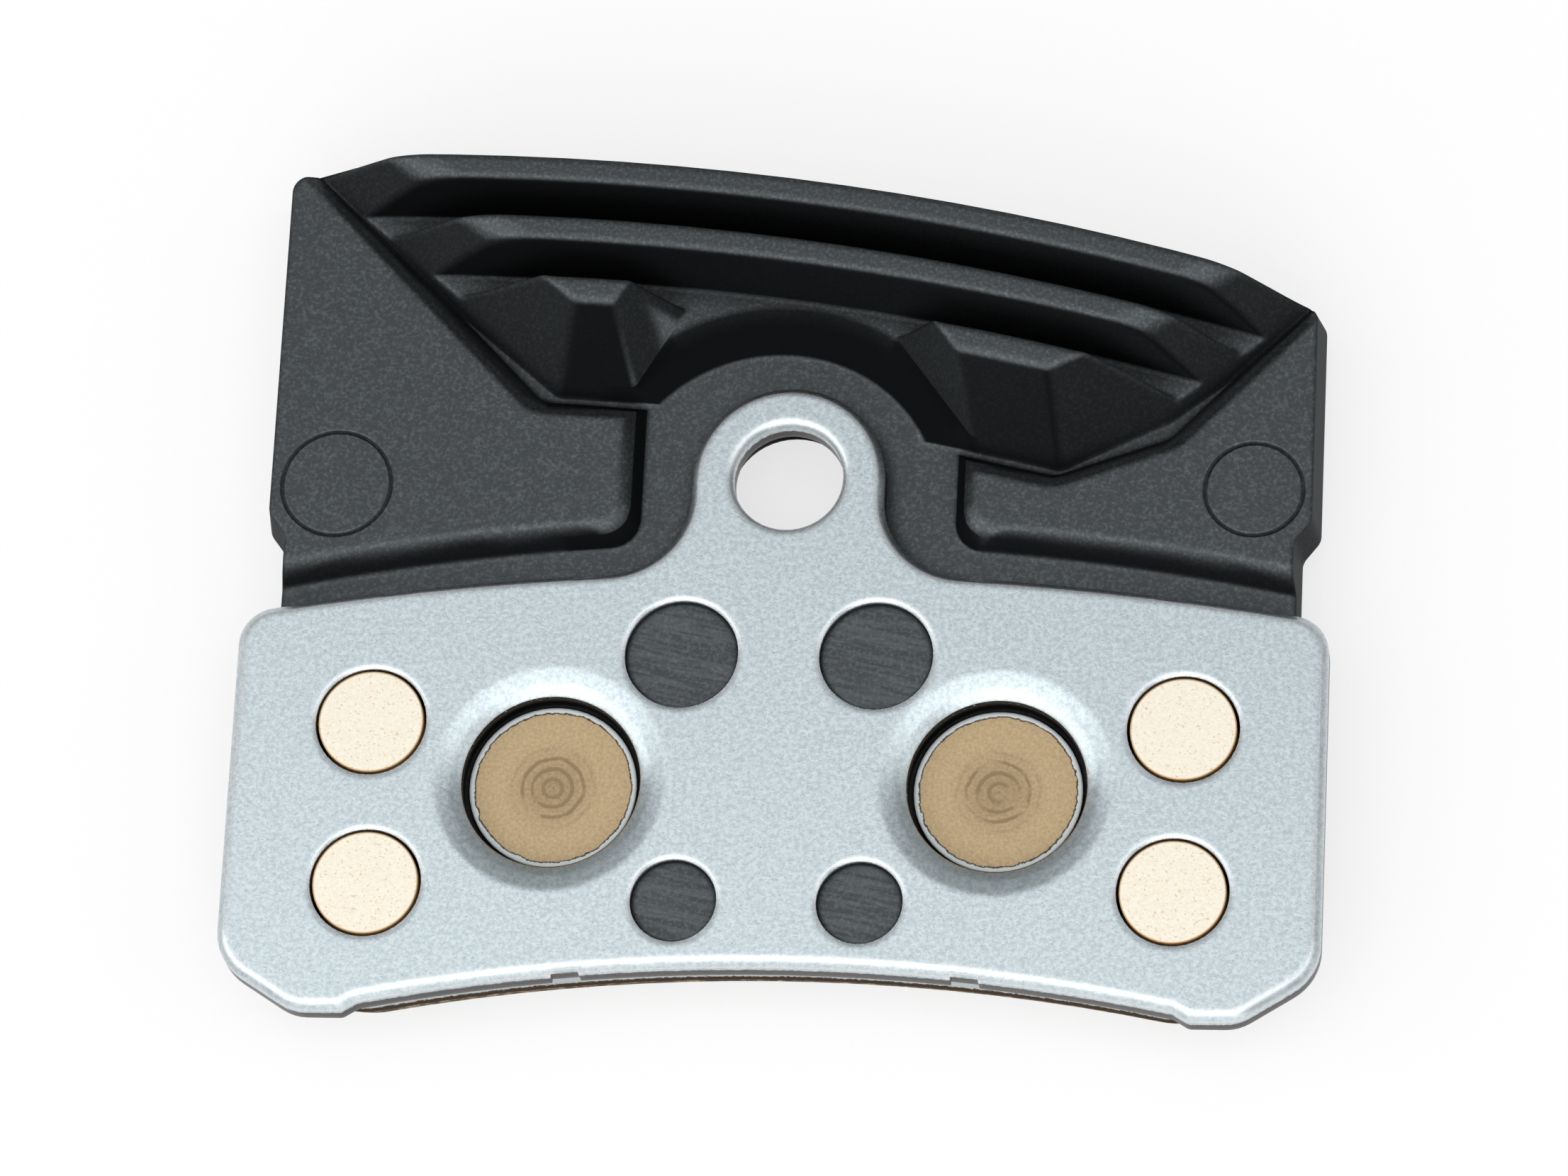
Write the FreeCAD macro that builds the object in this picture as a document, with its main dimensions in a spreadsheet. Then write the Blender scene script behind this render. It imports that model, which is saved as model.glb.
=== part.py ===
"""Disc brake pad with a cast cooling fin, for a bicycle caliper with four pistons.

The pad lies on its friction face. The origin is on that face, midway between the
two rivets: +X runs along the pad, +Y points at the cooling fin and +Z points at the
pistons. All sizes are millimetres and all angles are degrees.
"""
import FreeCAD, Part
import math
import os
import re
import Sketcher
from FreeCAD import Vector

SHEET_NAME = "Sizes"

# Limits for finding edges: a match, an upright corner, a leaning corner, a sloping wall
SAME = 1e-5
UPRIGHT_REACH = 0.05
LEANING_REACH = 0.6
SLOPE_LOW, SLOPE_HIGH = 0.3, 0.9

# Driving sizes: name, value, what it is
SIZES = [
    # Stack of layers, from the friction face up
    ("lining_thickness", 1.6, "friction lining, from its face to the casting"),
    ("carrier_thickness", 0.5, "steel carrier, let into the casting"),
    ("flange_thickness", 1.2, "casting between the lining and the back plate"),
    ("plate_thickness", 1.25, "stainless back plate"),
    # Back plate outline
    ("plate_width", 42.3, "back plate across its ends"),
    ("plate_top", 8.65, "crown of the upper edge above the rivet line"),
    ("plate_top_radius", 119.0, "curve of the upper edge"),
    ("plate_bottom", 7.4, "crown of the lower edge below the rivet line"),
    ("plate_bottom_radius", 78.0, "curve of the lower edge"),
    ("plate_side_drop", 7.4, "lower end of the straight sides below the rivet line"),
    ("lobe_drop", 9.35, "lowest edge of the corner lobes below the rivet line"),
    ("lobe_inset", 3.05, "outer end of a lobe's lowest edge, in from the plate's end"),
    ("lobe_flat", 1.9, "length of a lobe's lowest edge"),
    ("lobe_ramp", 0.6, "run of the step from a lobe to the lower curve"),
    ("upper_corner_radius", 1.5, "rounding of the upper corners"),
    ("lower_corner_radius", 2.2, "rounding of the lower corners"),
    ("lobe_radius", 1.8, "rounding of the lobes"),
    ("step_radius", 0.45, "rounding of the step beside a lobe"),
    ("edge_break", 0.28, "broken edge of the back plate"),
    ("notch_width", 1.1, "witness notches in the plate's edges"),
    ("notch_depth", 0.15, "depth of the notches"),
    ("inner_notch", 7.65, "inner notches from the middle"),
    ("outer_notch", 15.05, "outer notches from the middle"),
    # Ear for the retaining pin
    ("pin_height", 12.5, "pin bore above the rivet line"),
    ("pin_bore_radius", 2.15, "bore in the back plate"),
    ("pin_break", 0.18, "broken edge of the bore"),
    ("pin_relief", 0.35, "how much larger the hole in the casting is"),
    ("ear_radius", 3.75, "round nose of the ear"),
    ("ear_root_radius", 3.3, "fillet where the ear leaves the plate"),
    # Rivets
    ("rivet_inset", 12.54, "rivet axes in from the plate's ends"),
    ("rivet_head_radius", 3.25, "formed head"),
    ("rivet_head_height", 0.18, "formed head above the casting"),
    ("rivet_shank_radius", 2.2, "shank through casting and carrier"),
    ("rivet_flare", 0.25, "how much wider the countersunk end is"),
    ("rivet_hole_radius", 3.45, "clearance hole in the back plate"),
    ("dish_radius", 4.5, "pressed dish round a rivet hole"),
    ("dish_knee", 3.93, "where the dish turns steeper"),
    ("dish_knee_depth", 0.12, "depth of the dish there"),
    ("dish_depth", 0.4, "depth of the dish at the hole"),
    # Corner studs
    ("stud_radius", 2.05, "corner stud"),
    ("upper_stud_inset", 5.45, "upper studs in from the plate's ends"),
    ("upper_stud_height", 2.255, "upper studs above the rivet line"),
    ("lower_stud_inset", 5.65, "lower studs in from the plate's ends"),
    ("lower_stud_drop", 4.29, "lower studs below the rivet line"),
    ("stud_clearance", 0.12, "gap round a stud in the back plate"),
    # Cast bosses that locate the back plate
    ("upper_boss_radius", 2.18, "upper cast boss"),
    ("upper_boss_spacing", 7.55, "between the upper bosses"),
    ("upper_boss_height", 5.14, "upper bosses above the rivet line"),
    ("lower_boss_radius", 1.64, "lower cast boss"),
    ("lower_boss_spacing", 7.15, "between the lower bosses"),
    ("lower_boss_drop", 4.854, "lower bosses below the rivet line"),
    ("boss_recess", 0.3, "boss tops below the piston face"),
    ("fit_clearance", 0.03, "gap round everything that is pressed or riveted in"),
    # Casting outline
    ("fin_side_inset", 0.53, "ends of the fin in from the plate's ends"),
    ("flange_side_inset", 1.22, "sides of the flange in from the plate's ends"),
    ("jog_low", 9.95, "where the flange starts to widen, above the rivet line"),
    ("jog_high", 10.85, "where the full fin width starts, above the rivet line"),
    ("flange_inset", 0.2, "flange inside the plate along the lower edge"),
    ("flange_corner_run", 4.63, "where the lower curve turns up, in from the flange's side"),
    ("flange_corner_radius", 4.33, "lower corners of the flange"),
    ("fin_corner_radius", 0.7, "upper corners and side jogs of the casting"),
    ("casting_draft", 7.0, "draft of the casting's outer wall, degrees"),
    # Fin ribs, all on arcs about one axis
    ("fin_axis_x", -15.4, "axis of the fin arcs, along the pad"),
    ("fin_axis_drop", 92.0, "axis of the fin arcs below the rivet line"),
    ("fin_radius", 116.93, "outer edge of the outer rib's top"),
    ("rib_pitch", 2.48, "from one rib to the next"),
    ("rib_width", 1.02, "top of a rib"),
    ("rib_rise", 4.05, "rib tops above the flange"),
    ("groove_rise", 0.65, "groove floors above the flange"),
    ("rib_draft", 4.5, "draft of the groove walls, degrees"),
    ("fin_draft", 32.5, "slope of the rib ends and of the fin's front, degrees"),
    ("fin_left_foot", -9.4, "left end of the fin's front foot, along the pad"),
    ("fin_left_angle", 40.5, "direction of the left ends, degrees"),
    ("fin_right_foot", 10.5, "right end of the fin's front foot, along the pad"),
    ("fin_right_bend", 14.8, "where the right ends turn steeper, along the pad"),
    ("fin_right_angle", 26.0, "direction of the right ends below the bend, degrees"),
    ("fin_right_upper_angle", 38.0, "direction of the right ends above it, degrees"),
    ("relief_x", -0.6, "middle of the dished relief round the ear, along the pad"),
    ("relief_y", 11.6, "middle of the dished relief above the rivet line"),
    ("relief_radius", 6.3, "foot of the dished relief"),
    ("relief_rim", 8.4, "rim of the dished relief, level with the groove floors"),
    ("relief_knee_run", 0.8, "knee of the relief's wall, out from its foot"),
    ("relief_knee_rise", 0.4, "knee of the relief's wall, above its foot"),
    ("gap_left", -8.7, "left end of the gap in the inner rib, at its foot, level with the relief"),
    ("gap_left_angle", 60.0, "direction of that end, degrees"),
    ("gap_left_draft", 28.0, "slope of that end along the pad, degrees"),
    ("gap_right", 8.9, "right end of the gap in the inner rib, at its foot, level with the relief"),
    ("gap_right_angle", 53.0, "direction of that end, degrees"),
    ("gap_right_draft", 21.0, "slope of that end along the pad, degrees"),
    ("gap_margin", 0.06, "gap short of the middle rib's foot"),
    # Flats either side of the ear
    ("flat_rise", 1.0, "flats above the flange"),
    ("flat_draft", 30.0, "slope of the walls of the flats, degrees"),
    ("flat_front", 10.14, "crown of the front foot of the flats"),
    ("flat_front_radius", 97.0, "curve of that foot"),
    ("flat_gutter", 0.2, "flats short of the fin's front foot"),
    ("left_flat_end", -5.78, "foot of the left flat beside the ear"),
    ("left_flat_corner", -9.95, "where the left flat turns along the rib ends"),
    ("left_flat_angle", 46.2, "direction of that edge, degrees"),
    ("right_flat_end", 6.47, "foot of the right flat beside the ear"),
    ("right_flat_corner", 10.3, "where the right flat turns along the rib ends"),
    ("right_flat_bend", 14.7, "where that edge turns steeper"),
    ("right_flat_angle", 19.5, "direction of that edge below the bend, degrees"),
    ("right_flat_upper_angle", 46.0, "direction of that edge above it, degrees"),
    ("flat_corner_radius", 1.4, "corners of the flats"),
    ("flat_edge", 0.28, "broken edges of the flats"),
    # Bars and bumps on the rotor side of the fin
    ("bar_radius", 117.25, "outer foot of the outer bar"),
    ("bar_pitch", 3.4, "from one bar to the next"),
    ("bar_foot", 2.2, "width of a bar's foot"),
    ("bar_rise", 0.75, "bars above the casting's front"),
    ("bar_draft", 34.0, "slope of a bar's flanks, degrees"),
    ("bar_end_gap", 0.45, "bars short of the casting's sides"),
    ("short_bar_left_end", -5.75, "right end of the left short bar"),
    ("short_bar_right_start", 5.7, "left end of the right short bar"),
    ("short_bar_right_end", 15.3, "right end of the right short bar"),
    ("short_bar_slant", 0.7, "slant of the short bars' ends"),
    ("bump_inset", 2.57, "bumps in from the ends of the fin"),
    ("bump_height", 10.72, "bumps above the rivet line"),
    ("bump_width", 2.1, "side of a bump"),
    ("bump_rise", 0.35, "bumps above the casting's front"),
    ("bump_corner_radius", 0.45, "corners of a bump"),
    # Carrier outline
    ("carrier_side_inset", 1.95, "carrier in from the plate's ends"),
    ("carrier_low", 6.55, "lower edge of the carrier below the rivet line"),
    ("carrier_high", 5.4, "upper edge of the carrier above the rivet line"),
    ("carrier_corner", 2.2, "cut corners of the carrier"),
    # Friction lining outline
    ("lining_inset", 0.45, "lining inside the flange"),
    ("lining_top", 7.43, "crown of the lining's upper edge"),
    ("lining_top_radius", 82.0, "curve of that edge"),
    ("lining_corner_radius", 3.0, "upper corners of the lining"),
]

# Sizes that follow from the driving sizes: name, formula, what it is
DERIVED = [
    ("casting_front", "lining_thickness", "level of the casting's front"),
    ("carrier_back", "casting_front + carrier_thickness", "level of the carrier's back"),
    ("flange_back", "casting_front + flange_thickness", "level of the flange's back"),
    ("piston_face", "flange_back + plate_thickness", "level of the piston face"),
    ("rib_top", "flange_back + rib_rise", "level of the rib tops"),
    ("flat_top", "flange_back + flat_rise", "level of the flats"),
    ("plate_half", "plate_width / 2", "half the plate's width"),
    ("fin_half", "plate_half - fin_side_inset", "half the fin's width"),
    ("flange_half", "plate_half - flange_side_inset", "half the flange's width"),
    ("carrier_half", "plate_half - carrier_side_inset", "half the carrier's length"),
    ("rivet_x", "plate_half - rivet_inset", "rivets from the middle"),
    ("upper_stud_x", "plate_half - upper_stud_inset", "upper studs from the middle"),
    ("lower_stud_x", "plate_half - lower_stud_inset", "lower studs from the middle"),
    ("lobe_outer", "plate_half - lobe_inset", "outer end of a lobe's lowest edge"),
    ("lobe_inner", "lobe_outer - lobe_flat", "inner end of a lobe's lowest edge"),
    ("lobe_step", "lobe_inner - lobe_ramp", "where a lobe meets the lower curve"),
    ("plate_top_middle", "plate_top - plate_top_radius", "middle of the upper edge's curve"),
    ("plate_low_middle", "-plate_bottom - plate_bottom_radius", "middle of the lower edge's curve"),
    ("flange_low_radius", "plate_bottom_radius + flange_inset", "curve of the flange's lower edge"),
    ("flange_turn", "flange_half - flange_corner_run", "where the flange's lower curve turns up"),
    ("fin_axis_y", "-fin_axis_drop", "fin axis in the pad's frame"),
    ("edge_radius", "fin_radius + (flange_thickness + rib_rise) * tan(casting_draft)",
     "casting's outer edge at its front"),
    ("inner_rib_front", "fin_radius - 2 * rib_pitch - rib_width", "front edge of the inner rib's top"),
    ("fin_front_radius", "inner_rib_front - rib_rise * tan(fin_draft)", "front foot of the fin"),
    ("middle_rib_foot", "fin_radius - rib_pitch - rib_width"
     " - (rib_rise - groove_rise) * tan(rib_draft)", "front foot of the middle rib"),
    ("flat_back_radius", "fin_front_radius - flat_gutter", "back foot of the flats"),
    ("flat_front_middle", "flat_front - flat_front_radius", "middle of the flats' front curve"),
    ("bar_lean", "bar_rise * tan(bar_draft)", "run of a bar's flank"),
    ("bar_end", "fin_half - bar_end_gap", "ends of the long bars from the middle"),
    ("bump_x", "fin_half - bump_inset - bump_width / 2", "bumps from the middle"),
    ("overrun", "plate_width", "reach of construction outlines past the casting"),
]

doc = FreeCAD.newDocument("brake_pad")
sheet = doc.addObject("Spreadsheet::Sheet", SHEET_NAME)
for row, (alias, number, meaning) in enumerate(SIZES, 1):
    sheet.set(f"A{row}", alias)
    sheet.set(f"B{row}", str(number))
    sheet.setAlias(f"B{row}", alias)
    sheet.set(f"C{row}", meaning)
for row, (alias, formula, meaning) in enumerate(DERIVED, len(SIZES) + 1):
    sheet.set(f"A{row}", alias)
    sheet.set(f"B{row}", "=" + formula)
    sheet.setAlias(f"B{row}", alias)
    sheet.set(f"C{row}", meaning)
doc.recompute()

ALIASES = re.compile(r"\b(" + "|".join(row[0] for row in SIZES + DERIVED) + r")\b")


def bound(formula):
    """A formula of plain size names as an expression on the sheet."""
    return ALIASES.sub(SHEET_NAME + r".\1", formula)


def value(formula):
    """The number that a formula of size names comes to."""
    return float(sheet.evalExpression(bound(formula)))


def on_arc(middle_x, middle_y, radius, x):
    """Formula of the height at x of the upper half of a circle."""
    return f"(({middle_y}) + sqrt(({radius})^2 - (({x}) - ({middle_x}))^2))"


def on_fin_arc(radius, x):
    """Formula of the height at x of an arc about the fin axis."""
    return on_arc("fin_axis_x", "fin_axis_y", radius, x)


# Sketching


def plane_of(body, role):
    """The body's own origin plane of the given role."""
    for feature in body.Origin.OriginFeatures:
        if feature.Role == role:
            return feature
    raise ValueError(role)


def new_sketch(body, name, lift="0", role="XY_Plane", shift=("0", "0")):
    """A sketch on an origin plane of the body, lifted and shifted by formulas."""
    sketch = body.newObject("Sketcher::SketchObject", name)
    sketch.AttachmentSupport = [(plane_of(body, role), "")]
    sketch.MapMode = "FlatFace"
    for axis, formula in zip("xyz", (*shift, lift)):
        sketch.setExpression(f"AttachmentOffset.Base.{axis}", bound(formula))
    return sketch


def bind(sketch, constraint, formula):
    """Adds a constraint and ties its size to a formula."""
    index = sketch.addConstraint(constraint)
    sketch.setExpression(f"Constraints[{index}]", bound(formula))


def place_point(sketch, shape, end, x, y):
    """Ties a point of the sketch to two formulas, measured from the sketch origin."""
    if x == "0":
        sketch.addConstraint(Sketcher.Constraint("PointOnObject", shape, end, -2))
    else:
        bind(sketch, Sketcher.Constraint("DistanceX", -1, 1, shape, end, value(x)), x)
    if y == "0":
        sketch.addConstraint(Sketcher.Constraint("PointOnObject", shape, end, -1))
    else:
        bind(sketch, Sketcher.Constraint("DistanceY", -1, 1, shape, end, value(y)), y)


def arc_between(start, end, radius, turn):
    """The short arc of a radius from start to end, turning left (1) or right (-1)."""
    chord = end - start
    height = math.sqrt(max(radius ** 2 - (chord.Length / 2) ** 2, 0.0))
    across = Vector(-chord.y, chord.x, 0).normalize()
    middle = (start + end) * 0.5 + across * (height * turn)
    first, last = (start, end) if turn > 0 else (end, start)
    first_angle = math.atan2(first.y - middle.y, first.x - middle.x)
    last_angle = math.atan2(last.y - middle.y, last.x - middle.x)
    circle = Part.Circle(middle, Vector(0, 0, 1), radius)
    return Part.ArcOfCircle(circle, first_angle, last_angle)


def draw_outline(sketch, corners):
    """Draws one closed outline.

    Each corner is (x, y) before a straight edge, or (x, y, radius, turn) before an
    arc that turns left (1) or right (-1) on its way to the next corner.
    """
    points = [Vector(value(corner[0]), value(corner[1]), 0) for corner in corners]
    ends = []
    for index, corner in enumerate(corners):
        start = points[index]
        end = points[(index + 1) % len(points)]
        if len(corner) == 2:
            shape = sketch.addGeometry(Part.LineSegment(start, end))
            ends.append((shape, 1, 2))
        else:
            radius, turn = corner[2], corner[3]
            shape = sketch.addGeometry(arc_between(start, end, value(radius), turn))
            bind(sketch, Sketcher.Constraint("Radius", shape, value(radius)), radius)
            ends.append((shape, 1, 2) if turn > 0 else (shape, 2, 1))
    for index, (shape, _, last) in enumerate(ends):
        following, first, _ = ends[(index + 1) % len(ends)]
        sketch.addConstraint(Sketcher.Constraint("Coincident", shape, last, following, first))
    for corner, (shape, first, _) in zip(corners, ends):
        place_point(sketch, shape, first, corner[0], corner[1])


def draw_circles(sketch, circles):
    """Draws circles given as (x, y, radius) formulas."""
    for x, y, radius in circles:
        middle = Vector(value(x), value(y), 0)
        shape = sketch.addGeometry(Part.Circle(middle, Vector(0, 0, 1), value(radius)))
        bind(sketch, Sketcher.Constraint("Radius", shape, value(radius)), radius)
        place_point(sketch, shape, 3, x, y)


# Features


def pad(body, sketch, name, length, taper=None, downward=False):
    """Pads a sketch, leaning its walls inward by the taper."""
    feature = body.newObject("PartDesign::Pad", name)
    feature.Profile = sketch
    feature.setExpression("Length", bound(length))
    feature.Reversed = downward
    if taper:
        feature.setExpression("TaperAngle", bound(f"-({taper})"))
    doc.recompute()
    return feature


def pocket(body, sketch, name, depth, upward=False):
    """Cuts a sketch into the body and makes sure that it removed something."""
    before = body.Shape.Volume
    feature = body.newObject("PartDesign::Pocket", name)
    feature.Profile = sketch
    feature.setExpression("Length", bound(depth))
    feature.Reversed = upward
    doc.recompute()
    if body.Shape.Volume >= before:
        raise RuntimeError(name + " removed nothing")
    return feature


def turn(body, sketch, name, kind="PartDesign::Revolution"):
    """Turns a sketch all the way about its own vertical axis."""
    feature = body.newObject(kind, name)
    feature.Profile = sketch
    feature.ReferenceAxis = (sketch, ["V_Axis"])
    feature.Angle = 360
    doc.recompute()
    return feature


def loft(body, name, layers):
    """Joins outlines at different levels with straight walls."""
    feature = body.newObject("PartDesign::AdditiveLoft", name)
    feature.Profile = layers[0]
    feature.Sections = layers[1:]
    feature.Ruled = True
    doc.recompute()
    return feature


def cut_cone(body, name, x, y, foot, foot_radius, top_radius, height):
    """Cuts a cone that stands upright at (x, y)."""
    feature = body.newObject("PartDesign::SubtractiveCone", name)
    feature.AttachmentSupport = [(plane_of(body, "XY_Plane"), "")]
    feature.MapMode = "FlatFace"
    for axis, formula in zip("xyz", (x, y, foot)):
        feature.setExpression(f"AttachmentOffset.Base.{axis}", bound(formula))
    feature.setExpression("Radius1", bound(foot_radius))
    feature.setExpression("Radius2", bound(top_radius))
    feature.setExpression("Height", bound(height))
    doc.recompute()
    return feature


def upright_edges(body, places, reach):
    """Names of the body's rising edges whose middles are near the places."""
    targets = [(value(x), value(y)) for x, y in places]
    names = []
    for number, edge in enumerate(body.Shape.Edges, 1):
        rise = abs(edge.Vertexes[-1].Point.z - edge.Vertexes[0].Point.z)
        middle = edge.CenterOfMass
        near = any(math.hypot(middle.x - x, middle.y - y) < reach for x, y in targets)
        if near and rise > 0.5 * edge.Length:
            names.append(f"Edge{number}")
    return names


def level_edges(body, level, faces):
    """Names of the edges at a level that belong to one of the faces."""
    height = value(level)
    names = []
    for number, edge in enumerate(body.Shape.Edges, 1):
        flat = all(abs(vertex.Point.z - height) < SAME for vertex in edge.Vertexes)
        if flat and any(edge.isSame(other) for face in faces for other in face.Edges):
            names.append(f"Edge{number}")
    return names


def hole_rim(body, x, y, level, radius):
    """Name of the rim of a round hole, in a list."""
    place = Vector(value(x), value(y), value(level))
    names = []
    for number, edge in enumerate(body.Shape.Edges, 1):
        curve = edge.Curve
        if isinstance(curve, Part.Circle) and abs(curve.Radius - value(radius)) < SAME:
            if curve.Center.distanceToPoint(place) < SAME:
                names.append(f"Edge{number}")
    return names


def sloping_rims(body, level):
    """Names of the edges at a level where a flat top meets a sloping wall."""
    walls = []
    for face in body.Shape.Faces:
        u_low, u_high, v_low, v_high = face.ParameterRange
        tilt = face.normalAt((u_low + u_high) / 2, (v_low + v_high) / 2).z
        if SLOPE_LOW < tilt < SLOPE_HIGH:
            walls.append(face)
    return level_edges(body, level, walls)


def round_edges(body, names, name, radius):
    """Fillets edges of the body's last feature."""
    last = body.Tip
    feature = body.newObject("PartDesign::Fillet", name)
    feature.Base = (last, names)
    feature.setExpression("Radius", bound(radius))
    doc.recompute()
    return feature


def break_edges(body, names, name, size):
    """Chamfers edges of the body's last feature."""
    last = body.Tip
    feature = body.newObject("PartDesign::Chamfer", name)
    feature.Base = (last, names)
    feature.setExpression("Size", bound(size))
    doc.recompute()
    return feature


def new_body(label):
    """An empty body for one sub-part."""
    body = doc.addObject("PartDesign::Body", label)
    body.Label = label
    return body


# Places that more than one piece shares

RIVETS = [("-rivet_x", "0"), ("rivet_x", "0")]
STUDS = [
    ("-upper_stud_x", "upper_stud_height"),
    ("upper_stud_x", "upper_stud_height"),
    ("-lower_stud_x", "-lower_stud_drop"),
    ("lower_stud_x", "-lower_stud_drop"),
]
BOSSES = [
    ("-upper_boss_spacing / 2", "upper_boss_height", "upper_boss_radius"),
    ("upper_boss_spacing / 2", "upper_boss_height", "upper_boss_radius"),
    ("-lower_boss_spacing / 2", "-lower_boss_drop", "lower_boss_radius"),
    ("lower_boss_spacing / 2", "-lower_boss_drop", "lower_boss_radius"),
]


def carrier_outline(grow):
    """Corners of the carrier, grown outward by a formula."""
    side = f"(carrier_half + ({grow}))"
    low = f"(carrier_low + ({grow}))"
    high = f"(carrier_high + ({grow}))"
    return [
        (f"carrier_corner - {side}", f"-{low}"),
        (f"{side} - carrier_corner", f"-{low}"),
        (side, f"carrier_corner - {low}"),
        (side, f"{high} - carrier_corner"),
        (f"{side} - carrier_corner", high),
        (f"carrier_corner - {side}", high),
        (f"-{side}", f"{high} - carrier_corner"),
        (f"-{side}", f"carrier_corner - {low}"),
    ]


# Back plate


def plate_outline():
    """Corners of the back plate without its ear."""
    shoulder = on_arc("0", "plate_top_middle", "plate_top_radius", "plate_half")
    step = on_arc("0", "plate_low_middle", "plate_bottom_radius", "lobe_step")
    return [
        ("-lobe_step", step, "plate_bottom_radius", -1),
        ("lobe_step", step),
        ("lobe_inner", "-lobe_drop"),
        ("lobe_outer", "-lobe_drop"),
        ("plate_half", "-plate_side_drop"),
        ("plate_half", shoulder, "plate_top_radius", 1),
        ("-plate_half", shoulder),
        ("-plate_half", "-plate_side_drop"),
        ("-lobe_outer", "-lobe_drop"),
        ("-lobe_inner", "-lobe_drop"),
    ]


def edge_notches():
    """Outlines of the small witness notches in the plate's upper and lower edges."""
    upper = ("plate_top_middle", "plate_top_radius", ("inner_notch", "outer_notch"))
    lower = ("plate_low_middle", "plate_bottom_radius", ("inner_notch",))
    outlines = []
    for middle, radius, places in (upper, lower):
        for place in [sign + place for sign in ("-", "") for place in places]:
            left, right = f"{place} - notch_width / 2", f"{place} + notch_width / 2"
            left_edge, right_edge = on_arc("0", middle, radius, left), on_arc("0", middle, radius, right)
            outlines.append([
                (left, f"{left_edge} - notch_depth"),
                (right, f"{right_edge} - notch_depth"),
                (right, f"{right_edge} + notch_depth"),
                (left, f"{left_edge} + notch_depth"),
            ])
    return outlines


def make_back_plate():
    """Stainless pressing with the pin ear, the piston face and all its holes."""
    body = new_body("back_plate")
    outline = plate_outline()
    blank = new_sketch(body, "plate_outline", "flange_back")
    draw_outline(blank, outline)
    pad(body, blank, "plate_blank", "plate_thickness")

    ear = new_sketch(body, "ear_outline", "flange_back")
    draw_outline(ear, [
        ("-ear_radius", "0"),
        ("ear_radius", "0"),
        ("ear_radius", "pin_height", "ear_radius", 1),
        ("0", "pin_height + ear_radius", "ear_radius", 1),
        ("-ear_radius", "pin_height"),
    ])
    pad(body, ear, "ear", "plate_thickness")

    root = on_arc("0", "plate_top_middle", "plate_top_radius", "ear_radius")
    roundings = [
        ("ear_roots", [("ear_radius", root), ("-ear_radius", root)], "ear_root_radius"),
        ("upper_corners", [outline[5][:2], outline[6][:2]], "upper_corner_radius"),
        ("lower_corners", [outline[4][:2], outline[7][:2]], "lower_corner_radius"),
        ("lobes", [outline[3][:2], outline[8][:2]], "lobe_radius"),
        ("lobe_steps", [outline[i][:2] for i in (0, 1, 2, 9)], "step_radius"),
    ]
    for name, places, radius in roundings:
        round_edges(body, upright_edges(body, places, UPRIGHT_REACH), name, radius)

    holes = new_sketch(body, "hole_layout", "piston_face")
    draw_circles(holes, [(x, y, "rivet_hole_radius") for x, y in RIVETS])
    draw_circles(holes, [(x, y, "stud_radius + stud_clearance") for x, y in STUDS])
    draw_circles(holes, [(x, y, f"{radius} + fit_clearance") for x, y, radius in BOSSES])
    draw_circles(holes, [("0", "pin_height", "pin_bore_radius")])
    pocket(body, holes, "holes", "plate_thickness")

    for side, (x, y) in zip(("left", "right"), RIVETS):
        cut_cone(body, f"{side}_dish_lip", x, y, "piston_face - dish_knee_depth",
                 "dish_knee", "dish_radius", "dish_knee_depth")
        cut_cone(body, f"{side}_dish", x, y, "piston_face - dish_depth",
                 "rivet_hole_radius", "dish_knee", "dish_depth - dish_knee_depth")

    face = max(body.Shape.Faces, key=lambda item: item.CenterOfMass.z)
    break_edges(body, level_edges(body, "piston_face", [face.OuterWire]), "broken_edge", "edge_break")
    bore = hole_rim(body, "0", "pin_height", "piston_face", "pin_bore_radius")
    break_edges(body, bore, "broken_bore", "pin_break")

    notches = new_sketch(body, "notch_layout", "piston_face")
    for outline in edge_notches():
        draw_outline(notches, outline)
    pocket(body, notches, "edge_notches", "plate_thickness")
    return body


# Cooling fin casting


def casting_outline():
    """Corners of the casting's outline at its front, and the places to round."""
    foot = on_arc("0", "plate_low_middle", "flange_low_radius", "flange_turn")
    swing = "sqrt(flange_corner_radius^2 - (flange_corner_radius - flange_corner_run)^2)"
    side_foot = f"{foot} + {swing}"
    corners = [
        ("-flange_turn", foot, "flange_low_radius", -1),
        ("flange_turn", foot, "flange_corner_radius", 1),
        ("flange_half", side_foot),
        ("flange_half", "jog_low"),
        ("fin_half", "jog_high"),
        ("fin_half", on_fin_arc("edge_radius", "fin_half"), "edge_radius", 1),
        ("-fin_half", on_fin_arc("edge_radius", "-fin_half")),
        ("-fin_half", "jog_high"),
        ("-flange_half", "jog_low"),
        ("-flange_half", side_foot, "flange_corner_radius", 1),
    ]
    rounded = [corner[:2] for corner in corners[3:9]]
    return corners, rounded


def make_envelope():
    """The drafted block that the casting's outer wall belongs to."""
    body = new_body("casting_envelope")
    corners, rounded = casting_outline()
    sketch = new_sketch(body, "casting_outline", "casting_front")
    draw_outline(sketch, corners)
    pad(body, sketch, "drafted_block", "flange_thickness + rib_rise", "casting_draft")
    round_edges(body, upright_edges(body, rounded, LEANING_REACH), "outer_corners", "fin_corner_radius")
    return body


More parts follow.
